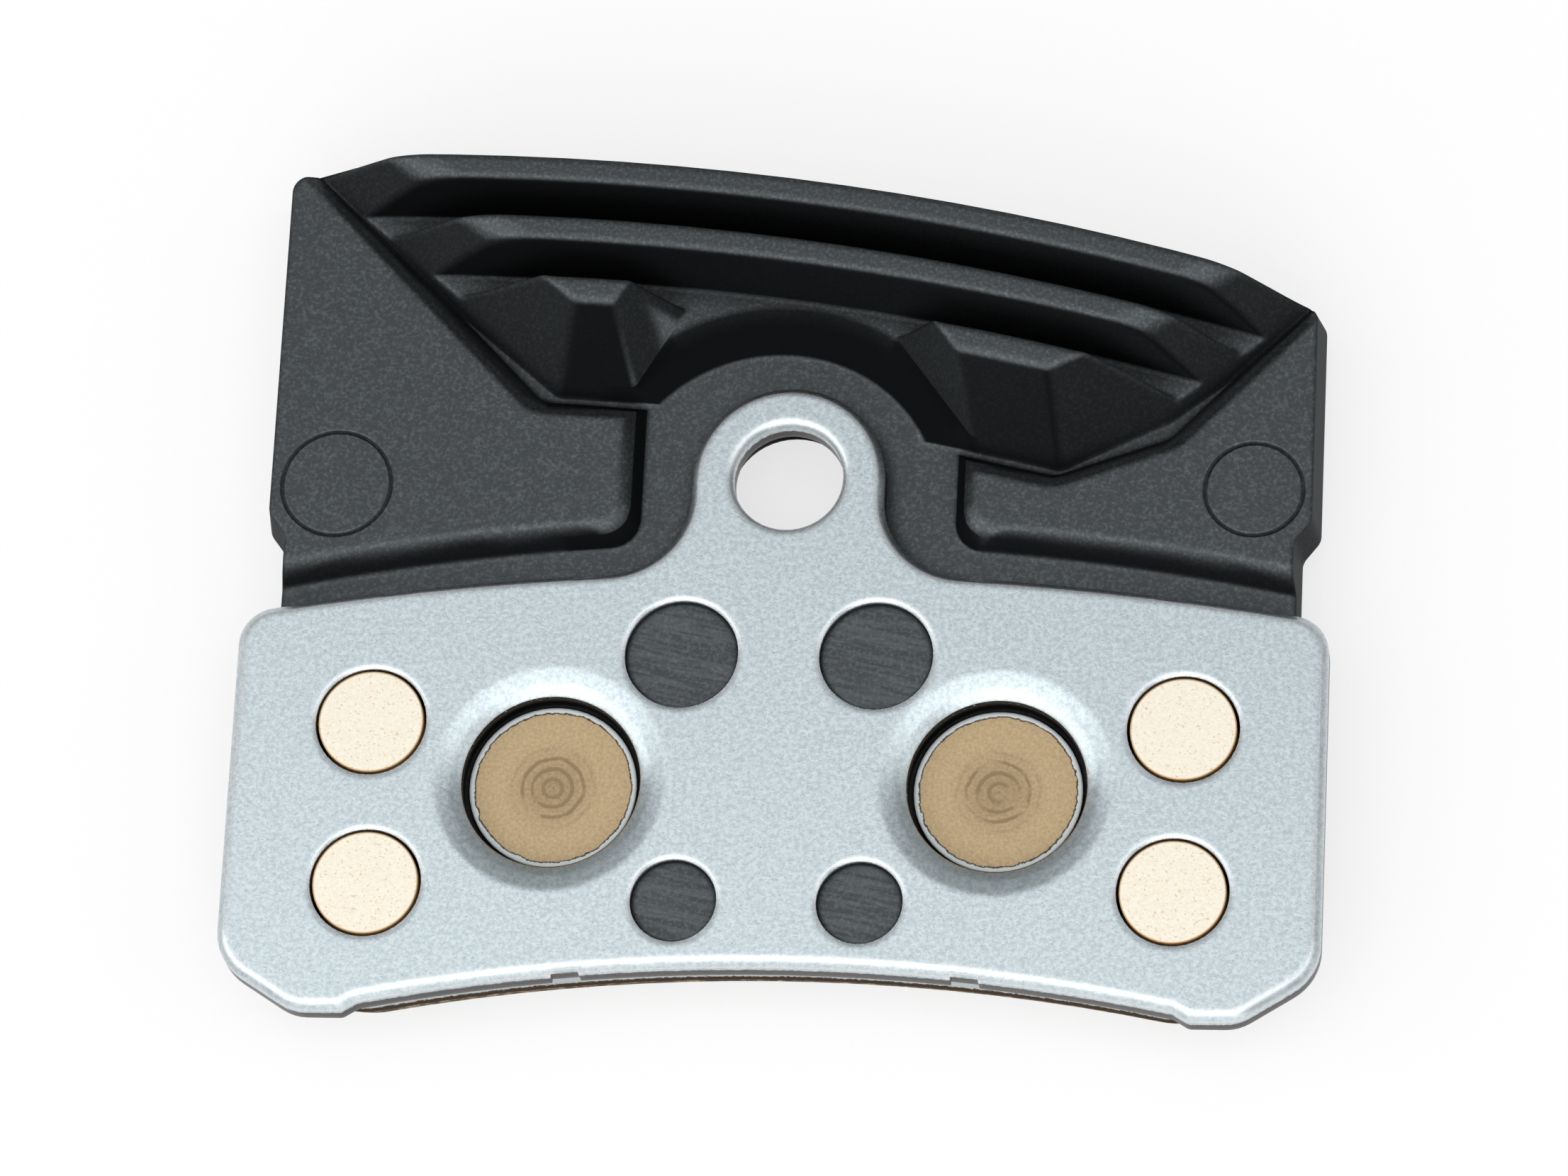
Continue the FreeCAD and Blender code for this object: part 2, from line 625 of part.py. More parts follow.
def fin_mound_outline():
    """Corners of the fin's foot, running past the casting's outer edge."""
    left_y = on_fin_arc("fin_front_radius", "fin_left_foot")
    right_y = on_fin_arc("fin_front_radius", "fin_right_foot")
    bend_y = f"({right_y} + (fin_right_bend - fin_right_foot) * tan(fin_right_angle))"
    return [
        ("fin_left_foot", left_y, "fin_front_radius", -1),
        ("fin_right_foot", right_y),
        ("fin_right_bend", bend_y),
        ("fin_right_bend + overrun", f"{bend_y} + overrun * tan(fin_right_upper_angle)"),
        ("fin_left_foot - overrun", f"{left_y} + overrun * tan(fin_left_angle)"),
    ]


def make_ear_relief():
    """What the gap in the inner rib and the dished relief round the ear take away."""
    body = new_body("ear_relief")
    rise = "(rib_rise + rib_width)"
    low, high = "relief_y", "(relief_y + 2 * relief_radius)"
    layers = []
    for layer, lift in (("foot", "0"), ("top", rise)):
        left = f"(gap_left - {lift} * tan(gap_left_draft))"
        right = f"(gap_right + {lift} * tan(gap_right_draft))"
        sketch = new_sketch(body, f"gap_{layer}", f"flange_back + {lift}")
        draw_outline(sketch, [
            (left, low),
            (right, low),
            (f"{right} - 2 * relief_radius / tan(gap_right_angle)", high),
            (f"{left} + 2 * relief_radius / tan(gap_left_angle)", high),
        ])
        layers.append(sketch)
    loft(body, "gap", layers)

    floor = new_sketch(body, "relief_floor", "-relief_y", "XZ_Plane", ("relief_x", "flange_back"))
    draw_outline(floor, [
        ("relief_radius", "0"),
        ("overrun", "0"),
        ("overrun", "groove_rise"),
        ("relief_rim", "groove_rise"),
        ("relief_radius + relief_knee_run", "relief_knee_rise"),
    ])
    turn(body, floor, "dished_floor", "PartDesign::Groove")

    stop = new_sketch(body, "middle_rib_side", "fin_axis_x", "YZ_Plane", ("fin_axis_y", "flange_back"))
    draw_outline(stop, [
        ("gap_margin - middle_rib_foot", "0"),
        ("-middle_rib_foot - overrun", "0"),
        ("-middle_rib_foot - overrun", f"{rise} + rib_width"),
        ("gap_margin - middle_rib_foot", f"{rise} + rib_width"),
    ])
    turn(body, stop, "clear_of_middle_rib", "PartDesign::Groove")
    return body


def left_flat_outline():
    """Corners of the left flat's foot, running past the casting's outer edge."""
    far = "(-overrun)"
    turn_y = on_fin_arc("flat_back_radius", "left_flat_corner")
    far_y = f"({turn_y} + (overrun + left_flat_corner) * tan(left_flat_angle))"
    return [
        ("left_flat_end", on_arc("0", "flat_front_middle", "flat_front_radius", "left_flat_end")),
        ("left_flat_end", on_fin_arc("flat_back_radius", "left_flat_end"), "flat_back_radius", 1),
        ("left_flat_corner", turn_y),
        (far, far_y),
        (far, on_arc("0", "flat_front_middle", "flat_front_radius", far), "flat_front_radius", -1),
    ]


def right_flat_outline():
    """Corners of the right flat's foot, running past the casting's outer edge."""
    turn_y = on_fin_arc("flat_back_radius", "right_flat_corner")
    bend_y = f"({turn_y} + (right_flat_bend - right_flat_corner) * tan(right_flat_angle))"
    far_y = f"({bend_y} + (overrun - right_flat_bend) * tan(right_flat_upper_angle))"
    return [
        ("right_flat_end", on_arc("0", "flat_front_middle", "flat_front_radius", "right_flat_end"),
         "flat_front_radius", -1),
        ("overrun", on_arc("0", "flat_front_middle", "flat_front_radius", "overrun")),
        ("overrun", far_y),
        ("right_flat_bend", bend_y),
        ("right_flat_corner", turn_y, "flat_back_radius", -1),
        ("right_flat_end", on_fin_arc("flat_back_radius", "right_flat_end")),
    ]


def cut_grooves(body):
    """Turns the two grooves between the ribs about the fin axis.

    The sections are drawn on the far side of the axis, so that the turned faces
    start and end well away from the casting.
    """
    sections = new_sketch(body, "groove_sections", "fin_axis_x", "YZ_Plane", ("fin_axis_y", "flange_back"))
    lean = "(rib_rise - groove_rise) * tan(rib_draft)"
    mouth = "rib_width * tan(rib_draft)"
    for number in (0, 1):
        outer = f"(fin_radius - {number} * rib_pitch - rib_width)"
        inner = f"(fin_radius - ({number} + 1) * rib_pitch)"
        draw_outline(sections, [
            (f"-({inner} + {lean})", "groove_rise"),
            (f"-({outer} - {lean})", "groove_rise"),
            (f"-({outer} + {mouth})", "rib_rise + rib_width"),
            (f"-({inner} - {mouth})", "rib_rise + rib_width"),
        ])
    turn(body, sections, "grooves", "PartDesign::Groove")


def join_body(body, name, kind, other):
    """Combines the body with a construction body."""
    feature = body.newObject("PartDesign::Boolean", name)
    feature.setObjects([other])
    feature.Type = kind
    doc.recompute()
    return feature


def make_cooling_fin():
    """Die casting: flange, ribbed fin, flats, bosses for the plate and front bars."""
    body = new_body("cooling_fin")

    slab = new_sketch(body, "slab_outline", "casting_front")
    draw_outline(slab, [
        ("-overrun", "-overrun"),
        ("overrun", "-overrun"),
        ("overrun", "overrun"),
        ("-overrun", "overrun"),
    ])
    pad(body, slab, "slab", "flange_thickness")

    mound = new_sketch(body, "fin_foot", "flange_back")
    draw_outline(mound, fin_mound_outline())
    pad(body, mound, "fin_mound", "rib_rise", "fin_draft")
    join_body(body, "relief_cut", "Cut", make_ear_relief())
    cut_grooves(body)

    flats = (("left", left_flat_outline()), ("right", right_flat_outline()))
    for side, outline in flats:
        sketch = new_sketch(body, f"{side}_flat_foot", "flange_back")
        draw_outline(sketch, outline)
        pad(body, sketch, f"{side}_flat", "flat_rise", "flat_draft")

    bosses = new_sketch(body, "boss_layout", "flange_back")
    draw_circles(bosses, BOSSES)
    pad(body, bosses, "bosses", "plate_thickness - boss_recess")
    join_body(body, "outer_wall", "Common", make_envelope())

    left, right = left_flat_outline(), right_flat_outline()
    places = [corner[:2] for corner in (left[0], left[2], right[0], right[3], right[4])]
    corners = upright_edges(body, places, LEANING_REACH)
    round_edges(body, corners, "flat_corners", "flat_corner_radius")
    break_edges(body, sloping_rims(body, "flat_top"), "flat_edges", "flat_edge")

    add_front_bars(body)
    add_front_bumps(body)

    recess = new_sketch(body, "carrier_recess_outline", "casting_front")
    draw_outline(recess, carrier_outline("fit_clearance"))
    pocket(body, recess, "carrier_recess", "carrier_thickness", upward=True)

    holes = new_sketch(body, "hole_layout", "piston_face")
    draw_circles(holes, [(x, y, "rivet_shank_radius + fit_clearance") for x, y in RIVETS])
    draw_circles(holes, [(x, y, "stud_radius + fit_clearance") for x, y in STUDS])
    draw_circles(holes, [("0", "pin_height", "pin_bore_radius + pin_relief")])
    pocket(body, holes, "holes", "piston_face")
    return body


def add_front_bars(body):
    """Raised bars on the rotor side, on the same axis as the ribs."""
    short_left = "(short_bar_left_end - short_bar_slant)"
    short_start = "(short_bar_right_start - short_bar_slant / 2)"
    short_right = "(short_bar_right_end - 2 * short_bar_slant)"
    spans = [
        ("outer_bar", 0, "-bar_end", "-bar_end", "bar_end", "bar_end"),
        ("middle_bar", 1, "-bar_end", "-bar_end", "bar_end", "bar_end"),
        ("left_short_bar", 2, "-bar_end", "-bar_end", "short_bar_left_end", short_left),
        ("right_short_bar", 2, "short_bar_right_start", short_start,
         "short_bar_right_end", short_right),
    ]
    for name, number, outer_left, inner_left, outer_right, inner_right in spans:
        layers = []
        for layer, lift, inset in (("foot", "0", "0"), ("top", "bar_rise", "bar_lean")):
            outer = f"(bar_radius - {number} * bar_pitch - {inset})"
            inner = f"(bar_radius - {number} * bar_pitch - bar_foot + {inset})"
            low_left, high_left = f"({inner_left} + {inset})", f"({outer_left} + {inset})"
            low_right, high_right = f"({inner_right} - {inset})", f"({outer_right} - {inset})"
            sketch = new_sketch(body, f"{name}_{layer}", f"casting_front - {lift}")
            draw_outline(sketch, [
                (low_left, on_fin_arc(inner, low_left), inner, -1),
                (low_right, on_fin_arc(inner, low_right)),
                (high_right, on_fin_arc(outer, high_right), outer, 1),
                (high_left, on_fin_arc(outer, high_left)),
            ])
            layers.append(sketch)
        loft(body, name, layers)


def add_front_bumps(body):
    """Two square bumps with rounded corners, just above the lining."""
    sketch = new_sketch(body, "bump_layout", "casting_front")
    corners = []
    for sign in ("-", ""):
        near = f"({sign}bump_x - bump_width / 2)"
        far = f"({sign}bump_x + bump_width / 2)"
        low = "bump_height - bump_width / 2"
        high = "bump_height + bump_width / 2"
        square = [(near, low), (far, low), (far, high), (near, high)]
        draw_outline(sketch, square)
        corners += square
    pad(body, sketch, "front_bumps", "bump_rise", downward=True)
    corner_edges = upright_edges(body, corners, UPRIGHT_REACH)
    round_edges(body, corner_edges, "bump_corners", "bump_corner_radius")


# Friction lining and its carrier


def make_friction_carrier():
    """Steel plate under the lining, let into the casting and held by the rivets."""
    body = new_body("friction_carrier")
    sketch = new_sketch(body, "carrier_outline", "casting_front")
    draw_outline(sketch, carrier_outline("0"))
    pad(body, sketch, "carrier_blank", "carrier_thickness")
    for side, (x, y) in zip(("left", "right"), RIVETS):
        cut_cone(body, f"{side}_countersink", x, y, "casting_front",
                 "rivet_shank_radius + rivet_flare + fit_clearance",
                 "rivet_shank_radius + fit_clearance", "carrier_thickness")
    return body


def lining_outline():
    """Corners of the lining's outline, a step inside the flange."""
    side = "(flange_half - lining_inset)"
    low_radius = "(flange_low_radius + lining_inset)"
    corner_radius = "(flange_corner_radius - lining_inset)"
    start = "(flange_turn - lining_inset / 2)"
    foot = on_arc("0", "plate_low_middle", low_radius, start)
    swing = f"sqrt({corner_radius}^2 - ({corner_radius} - ({side} - {start}))^2)"
    shoulder = on_arc("0", "lining_top - lining_top_radius", "lining_top_radius", side)
    return [
        (f"-{start}", foot, low_radius, -1),
        (start, foot, corner_radius, 1),
        (side, f"{foot} + {swing}"),
        (side, shoulder, "lining_top_radius", 1),
        (f"-{side}", shoulder),
        (f"-{side}", f"{foot} + {swing}", corner_radius, 1),
    ]


def make_friction_lining():
    """Sintered friction block on the carrier."""
    body = new_body("friction_lining")
    outline = lining_outline()
    sketch = new_sketch(body, "lining_outline")
    draw_outline(sketch, outline)
    pad(body, sketch, "lining_block", "lining_thickness")
    shoulders = [corner[:2] for corner in outline[3:5]]
    shoulder_edges = upright_edges(body, shoulders, UPRIGHT_REACH)
    round_edges(body, shoulder_edges, "shoulders", "lining_corner_radius")
    return body


# Rivets and studs


def make_rivet(label, x, y):
    """Bronze rivet: countersunk in the carrier, formed flat on the casting."""
    body = new_body(label)
    sketch = new_sketch(body, "half_section", f"-({y})", "XZ_Plane", (x, "casting_front"))
    top = "flange_thickness + rivet_head_height"
    draw_outline(sketch, [
        ("0", "0"),
        ("rivet_shank_radius + rivet_flare", "0"),
        ("rivet_shank_radius", "carrier_thickness"),
        ("rivet_shank_radius", "flange_thickness"),
        ("rivet_head_radius", "flange_thickness"),
        ("rivet_head_radius", top),
        ("0", top),
    ])
    turn(body, sketch, "turned_rivet")
    return body


def make_stud(label, x, y):
    """Bronze stud that stands on the carrier and ends flush with the piston face."""
    body = new_body(label)
    sketch = new_sketch(body, "stud_section", "carrier_back")
    draw_circles(sketch, [(x, y, "stud_radius")])
    pad(body, sketch, "stud_blank", "piston_face - carrier_back")
    return body


RIVET_LABELS = ("rivet_left", "rivet_right")
STUD_LABELS = ("stud_upper_left", "stud_upper_right", "stud_lower_left", "stud_lower_right")

pieces = [
    make_back_plate(),
    make_cooling_fin(),
    make_friction_carrier(),
    make_friction_lining(),
]
pieces += [make_rivet(label, x, y) for label, (x, y) in zip(RIVET_LABELS, RIVETS)]
pieces += [make_stud(label, x, y) for label, (x, y) in zip(STUD_LABELS, STUDS)]

doc.recompute()
failed = [item.Name for item in doc.Objects if {"Invalid", "Error"} & set(item.State)]
if failed:
    raise RuntimeError("failed features: " + ", ".join(failed))
for piece in pieces:
    if piece.Shape.isNull() or not piece.Shape.isValid() or len(piece.Shape.Solids) != 1:
        raise RuntimeError("bad shape: " + piece.Label)

os.makedirs("parts", exist_ok=True)
for piece in pieces:
    piece.Shape.exportStep(f"parts/{piece.Label}.step")
    print(piece.Label, round(piece.Shape.Volume, 3))
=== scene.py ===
"""Dresses a finned disc brake pad for a bicycle and sets up its studio picture.

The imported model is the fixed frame: every CAD node keeps its place and its mesh. The
casting is shown by a copy with soft edges, which stands for its node. The classes below
give each piece its finish and the small marks that its surfaces carry. All lengths are
metres unless a name ends in _mm, and angles are degrees unless a name says radians. In a
finish, a range is where a mask leaves 0 and where it reaches 1, and a share is how much
of a colour a full mask lays on.
"""
import logging
import math
from dataclasses import dataclass
from enum import Enum
from typing import Any, Union

import bmesh
import bpy
from mathutils import Matrix, Vector


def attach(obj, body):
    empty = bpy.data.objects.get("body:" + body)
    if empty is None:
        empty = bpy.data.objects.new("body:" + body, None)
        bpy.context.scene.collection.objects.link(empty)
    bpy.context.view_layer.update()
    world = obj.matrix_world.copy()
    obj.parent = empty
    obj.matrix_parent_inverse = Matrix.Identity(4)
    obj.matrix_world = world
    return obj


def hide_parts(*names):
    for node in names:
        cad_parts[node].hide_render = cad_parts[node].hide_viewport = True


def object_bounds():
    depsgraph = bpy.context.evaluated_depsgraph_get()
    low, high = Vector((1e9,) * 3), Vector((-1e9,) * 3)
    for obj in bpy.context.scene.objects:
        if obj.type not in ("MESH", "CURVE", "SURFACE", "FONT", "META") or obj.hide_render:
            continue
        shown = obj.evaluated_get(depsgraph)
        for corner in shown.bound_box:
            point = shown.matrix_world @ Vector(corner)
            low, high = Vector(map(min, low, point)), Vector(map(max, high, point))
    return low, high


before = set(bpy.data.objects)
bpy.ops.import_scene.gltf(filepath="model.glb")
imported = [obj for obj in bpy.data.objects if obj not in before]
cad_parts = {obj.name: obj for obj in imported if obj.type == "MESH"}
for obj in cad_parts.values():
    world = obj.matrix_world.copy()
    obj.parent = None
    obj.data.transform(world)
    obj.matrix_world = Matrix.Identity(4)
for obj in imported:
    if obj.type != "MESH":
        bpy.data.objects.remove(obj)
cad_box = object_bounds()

MM = 0.001

log = logging.getLogger("brake_pad")

Pair = tuple[float, float]
Triple = tuple[float, float, float]
Colour = tuple[float, float, float]
Socket = bpy.types.NodeSocket
Operand = Union["Signal", float]

WHITE: Colour = (1.0, 1.0, 1.0)
EVEN: Triple = (1.0, 1.0, 1.0)


def srgb(red: int, green: int, blue: int) -> Colour:
    """Turns a display colour into the linear colour that shaders use.

    Args:
        red: Red from 0 to 255.
        green: Green from 0 to 255.
        blue: Blue from 0 to 255.

    Returns:
        The linear red, green and blue.
    """
    def linear(level: int) -> float:
        """Undoes the display curve for one channel."""
        part = level / 255
        return part / 12.92 if part <= 0.04045 else ((part + 0.055) / 1.055) ** 2.4

    return linear(red), linear(green), linear(blue)


class Slot(Enum):
    """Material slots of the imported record."""

    PLATE = "stainless_plate"
    CASTING = "black_casting"
    CARRIER = "carrier_steel"
    LINING = "sintered_lining"
    RIVET = "rivet_bronze"
    STUD = "stud_bronze"


# Shader writing


class Operation(Enum):
    """What a Math node works out."""

    ADD = "ADD"
    SUBTRACT = "SUBTRACT"
    MULTIPLY = "MULTIPLY"
    ABSOLUTE = "ABSOLUTE"
    SINE = "SINE"
    MINIMUM = "MINIMUM"
    MAXIMUM = "MAXIMUM"


@dataclass(frozen=True)
class Signal:
    """A number that varies over a surface, written in ordinary arithmetic."""

    graph: "ShaderGraph"
    socket: Socket

    def _math(self, operation: Operation, first: Operand, second: Operand = 0.0) -> "Signal":
        """Adds one Math node."""
        node = self.graph.add("ShaderNodeMath", {"operation": operation.value}, {0: first, 1: second})
        return Signal(self.graph, node.outputs[0])

    def __add__(self, other: Operand) -> "Signal":
        """Sum."""
        return self._math(Operation.ADD, self, other)

    __radd__ = __add__

    def __sub__(self, other: Operand) -> "Signal":
        """Difference."""
        return self._math(Operation.SUBTRACT, self, other)

    def __rsub__(self, other: Operand) -> "Signal":
        """Difference from a number."""
        return self._math(Operation.SUBTRACT, other, self)

    def __mul__(self, other: Operand) -> "Signal":
        """Product."""
        return self._math(Operation.MULTIPLY, self, other)

    __rmul__ = __mul__

    def __abs__(self) -> "Signal":
        """Size without its sign."""
        return self._math(Operation.ABSOLUTE, self)

    def wave(self) -> "Signal":
        """Sine, with this as the angle in radians."""
        return self._math(Operation.SINE, self)

    def least(self, other: Operand) -> "Signal":
        """The smaller of the two."""
        return self._math(Operation.MINIMUM, self, other)

    def most(self, other: Operand) -> "Signal":
        """The larger of the two."""
        return self._math(Operation.MAXIMUM, self, other)

    def between(self, low: float, high: float) -> "Signal":
        """Smooth step from 0 at low to 1 at high.

        Args:
            low: Where the result leaves 0.
            high: Where the result reaches 1. It may be below low.

        Returns:
            The stepped signal.
        """
        node = self.graph.add(
            "ShaderNodeMapRange",
            {"interpolation_type": "SMOOTHSTEP", "clamp": True},
            {"Value": self, "From Min": low, "From Max": high, "To Min": 0.0, "To Max": 1.0},
        )
        return Signal(self.graph, node.outputs[0])

    def ramp(self, low: float, high: float) -> "Signal":
        """Straight line from low where this is 0 to high where this is 1."""
        return low + self * (high - low)


class ShaderGraph:
    """The node tree of one material, with a Principled shader at its end."""

    EDGE_SAMPLES = 5
    CORNER_SAMPLES = 4

    def __init__(self, name: str) -> None:
        """Starts a material with a plain shader.

        Args:
            name: Name of the material.
        """
        self.material = bpy.data.materials.new(name)
        self.material.use_nodes = True
        self.tree = self.material.node_tree
        self.tree.nodes.clear()
        self.shader = self.add("ShaderNodeBsdfPrincipled")
        self.output = self.add("ShaderNodeOutputMaterial", None, {"Surface": self.shader.outputs["BSDF"]})
        place = self.add("ShaderNodeTexCoord").outputs["Object"]
        self.place_mm = self.scaled(place, (1 / MM, 1 / MM, 1 / MM))

    def add(self, kind: str, settings: dict[str, Any] | None = None,
            inputs: dict[int | str, Any] | None = None) -> bpy.types.Node:
        """Adds a node.

        Args:
            kind: Type of the node.
            settings: Properties to set before the sockets.
            inputs: Values, sockets or signals for the node's inputs.

        Returns:
            The new node.
        """
        node = self.tree.nodes.new(kind)
        for name, setting in (settings or {}).items():
            setattr(node, name, setting)
        for name, given in (inputs or {}).items():
            self.connect(node.inputs[name], given)
        return node

    def connect(self, socket: Socket, given: Any) -> None:
        """Links an input to a signal or a socket, or sets its value.

        Args:
            socket: The input.
            given: A signal, a socket, a number, a vector, or a colour without alpha.
        """
        source = given.socket if isinstance(given, Signal) else given
        if isinstance(source, Socket):
            self.tree.links.new(source, socket)
        elif socket.type == "RGBA":
            socket.default_value = (*source, 1.0)
        else:
            socket.default_value = source

    def feed(self, **inputs: Any) -> bpy.types.Material:
        """Sets inputs of the shader.

        Args:
            inputs: What each input gets, with underscores in its name for spaces.

        Returns:
            The material.
        """
        for name, given in inputs.items():
            self.connect(self.shader.inputs[name.replace("_", " ")], given)
        return self.material

    def scaled(self, vector: Socket, factors: Triple) -> Socket:
        """Scales a vector along each axis."""
        node = self.add("ShaderNodeVectorMath", {"operation": "MULTIPLY"}, {0: vector, 1: factors})
        return node.outputs[0]

    def turned(self, angle: float) -> Socket:
        """The position in millimetres, turned about the upright axis."""
        inputs = {"Vector": self.place_mm, "Angle": math.radians(angle)}
        return self.add("ShaderNodeVectorRotate", {"rotation_type": "Z_AXIS"}, inputs).outputs[0]

    def axes(self, vector: Socket) -> tuple[Signal, Signal, Signal]:
        """Splits a vector into three signals."""
        node = self.add("ShaderNodeSeparateXYZ", None, {0: vector})
        return tuple(Signal(self, socket) for socket in node.outputs)

    def level(self) -> Signal:
        """Height over the friction face in millimetres."""
        return self.axes(self.place_mm)[2]

    def noise(self, per_mm: float, detail: float = 2.0, stretch: Triple = EVEN,
              angle: float = 0.0, rough: float = 0.5) -> Signal:
        """Cloudy noise fixed to the piece.

        Args:
            per_mm: Features per millimetre.
            detail: Octaves of finer noise.
            stretch: Factors on the three axes.
            angle: Turn about the upright axis.
            rough: Weight of the finer octaves.

        Returns:
            Noise around a half.
        """
        source = self.turned(angle) if angle else self.place_mm
        vector = self.scaled(source, stretch)
        inputs = {"Vector": vector, "Scale": per_mm, "Detail": detail, "Roughness": rough}
        return Signal(self, self.add("ShaderNodeTexNoise", None, inputs).outputs[0])

    def cells(self, per_mm: float) -> tuple[Signal, Socket]:
        """Random cells.

        Args:
            per_mm: Cells per millimetre.

        Returns:
            The distance to each cell's middle, and a random colour for each cell.
        """
        node = self.add("ShaderNodeTexVoronoi", None, {"Vector": self.place_mm, "Scale": per_mm})
        return Signal(self, node.outputs["Distance"]), node.outputs["Color"]

    def reach(self, x_mm: float, y_mm: float) -> Signal:
        """Measures how far the surface is from an upright line.

        Args:
            x_mm: Place of the line along the pad.
            y_mm: Place of the line across the pad.

        Returns:
            The distance in millimetres.
        """
        x, y, _ = self.axes(self.place_mm)
        flat = self.add("ShaderNodeCombineXYZ", None, {"X": x - x_mm, "Y": y - y_mm})
        length = self.add("ShaderNodeVectorMath", {"operation": "LENGTH"}, {0: flat.outputs[0]})
        return Signal(self, length.outputs["Value"])

    def nearest(self, lines_mm: tuple[Pair, ...]) -> Signal:
        """Measures how far the surface is from the nearest of several upright lines.

        Args:
            lines_mm: Place of each line, along and across the pad.

        Returns:
            The distance in millimetres.
        """
        first, *others = (self.reach(x, y) for x, y in lines_mm)
        for other in others:
            first = first.least(other)
        return first

    @staticmethod
    def any_of(masks: list[Signal]) -> Signal:
        """Joins masks.

        Args:
            masks: One or more masks.

        Returns:
            The strongest of them at each point.
        """
        first, *others = masks
        for other in others:
            first = first.most(other)
        return first

    def upward(self) -> Signal:
        """How far the surface faces up, from -1 to 1."""
        normal = self.add("ShaderNodeNewGeometry").outputs["True Normal"]
        return self.axes(normal)[2]

    def edge_lean(self, normal: Socket) -> Signal:
        """Measures how far rounded normals lean away from the flat surface.

        Args:
            normal: The rounded normals.

        Returns:
            0 on a face, more on an edge.
        """
        flat = self.add("ShaderNodeNewGeometry").outputs["True Normal"]
        node = self.add("ShaderNodeVectorMath", {"operation": "DOT_PRODUCT"}, {0: normal, 1: flat})
        return 1.0 - Signal(self, node.outputs["Value"])

    def mix(self, share: Operand, low: Any, high: Any) -> Socket:
        """Lays one colour over another.

        Args:
            share: How much of the upper colour shows.
            low: Lower colour or socket.
            high: Upper colour or socket.

        Returns:
            Socket with the mixed colour.
        """
        settings = {"data_type": "RGBA", "blend_type": "MIX", "clamp_factor": True}
        return self.add("ShaderNodeMix", settings, {0: share, 6: low, 7: high}).outputs[2]

    def rounded(self, radius_mm: float) -> Socket:
        """Normals that run smoothly round every edge."""
        inputs = {"Radius": radius_mm * MM}
        return self.add("ShaderNodeBevel", {"samples": self.EDGE_SAMPLES}, inputs).outputs[0]

    def openness(self, distance_mm: float) -> Signal:
        """Measures how open the surface is to its surroundings.

        Args:
            distance_mm: How far the surroundings count.

        Returns:
            0 deep in a corner, 1 in the open.
        """
        inputs = {"Distance": distance_mm * MM}
        node = self.add("ShaderNodeAmbientOcclusion", {"samples": self.CORNER_SAMPLES}, inputs)
        return Signal(self, node.outputs["AO"])

    def bumped(self, height_mm: Signal, normal: Socket) -> Socket:
        """Bumps the normals by a height in millimetres.

        Args:
            height_mm: Height over the surface.
            normal: Normals to start from.

        Returns:
            Socket with the bumped normals.
        """
        inputs = {"Height": height_mm, "Distance": MM, "Strength": 1.0, "Normal": normal}
        return self.add("ShaderNodeBump", None, inputs).outputs[0]

    def glow_to_camera(self, share: float) -> None:
        """Shows plain white to the camera and to reflections.

        Args:
            share: How much of the white covers the surface.
        """
        path = self.add("ShaderNodeLightPath")
        seen = Signal(self, path.outputs["Is Camera Ray"])
        seen = seen.most(Signal(self, path.outputs["Is Glossy Ray"]))
        white = self.add("ShaderNodeEmission", None, {"Color": WHITE, "Strength": 1.0})
        inputs = {0: seen * share, 1: self.shader.outputs["BSDF"], 2: white.outputs[0]}
        blend = self.add("ShaderNodeMixShader", None, inputs)
        self.connect(self.output.inputs["Surface"], blend.outputs[0])


# Finishes


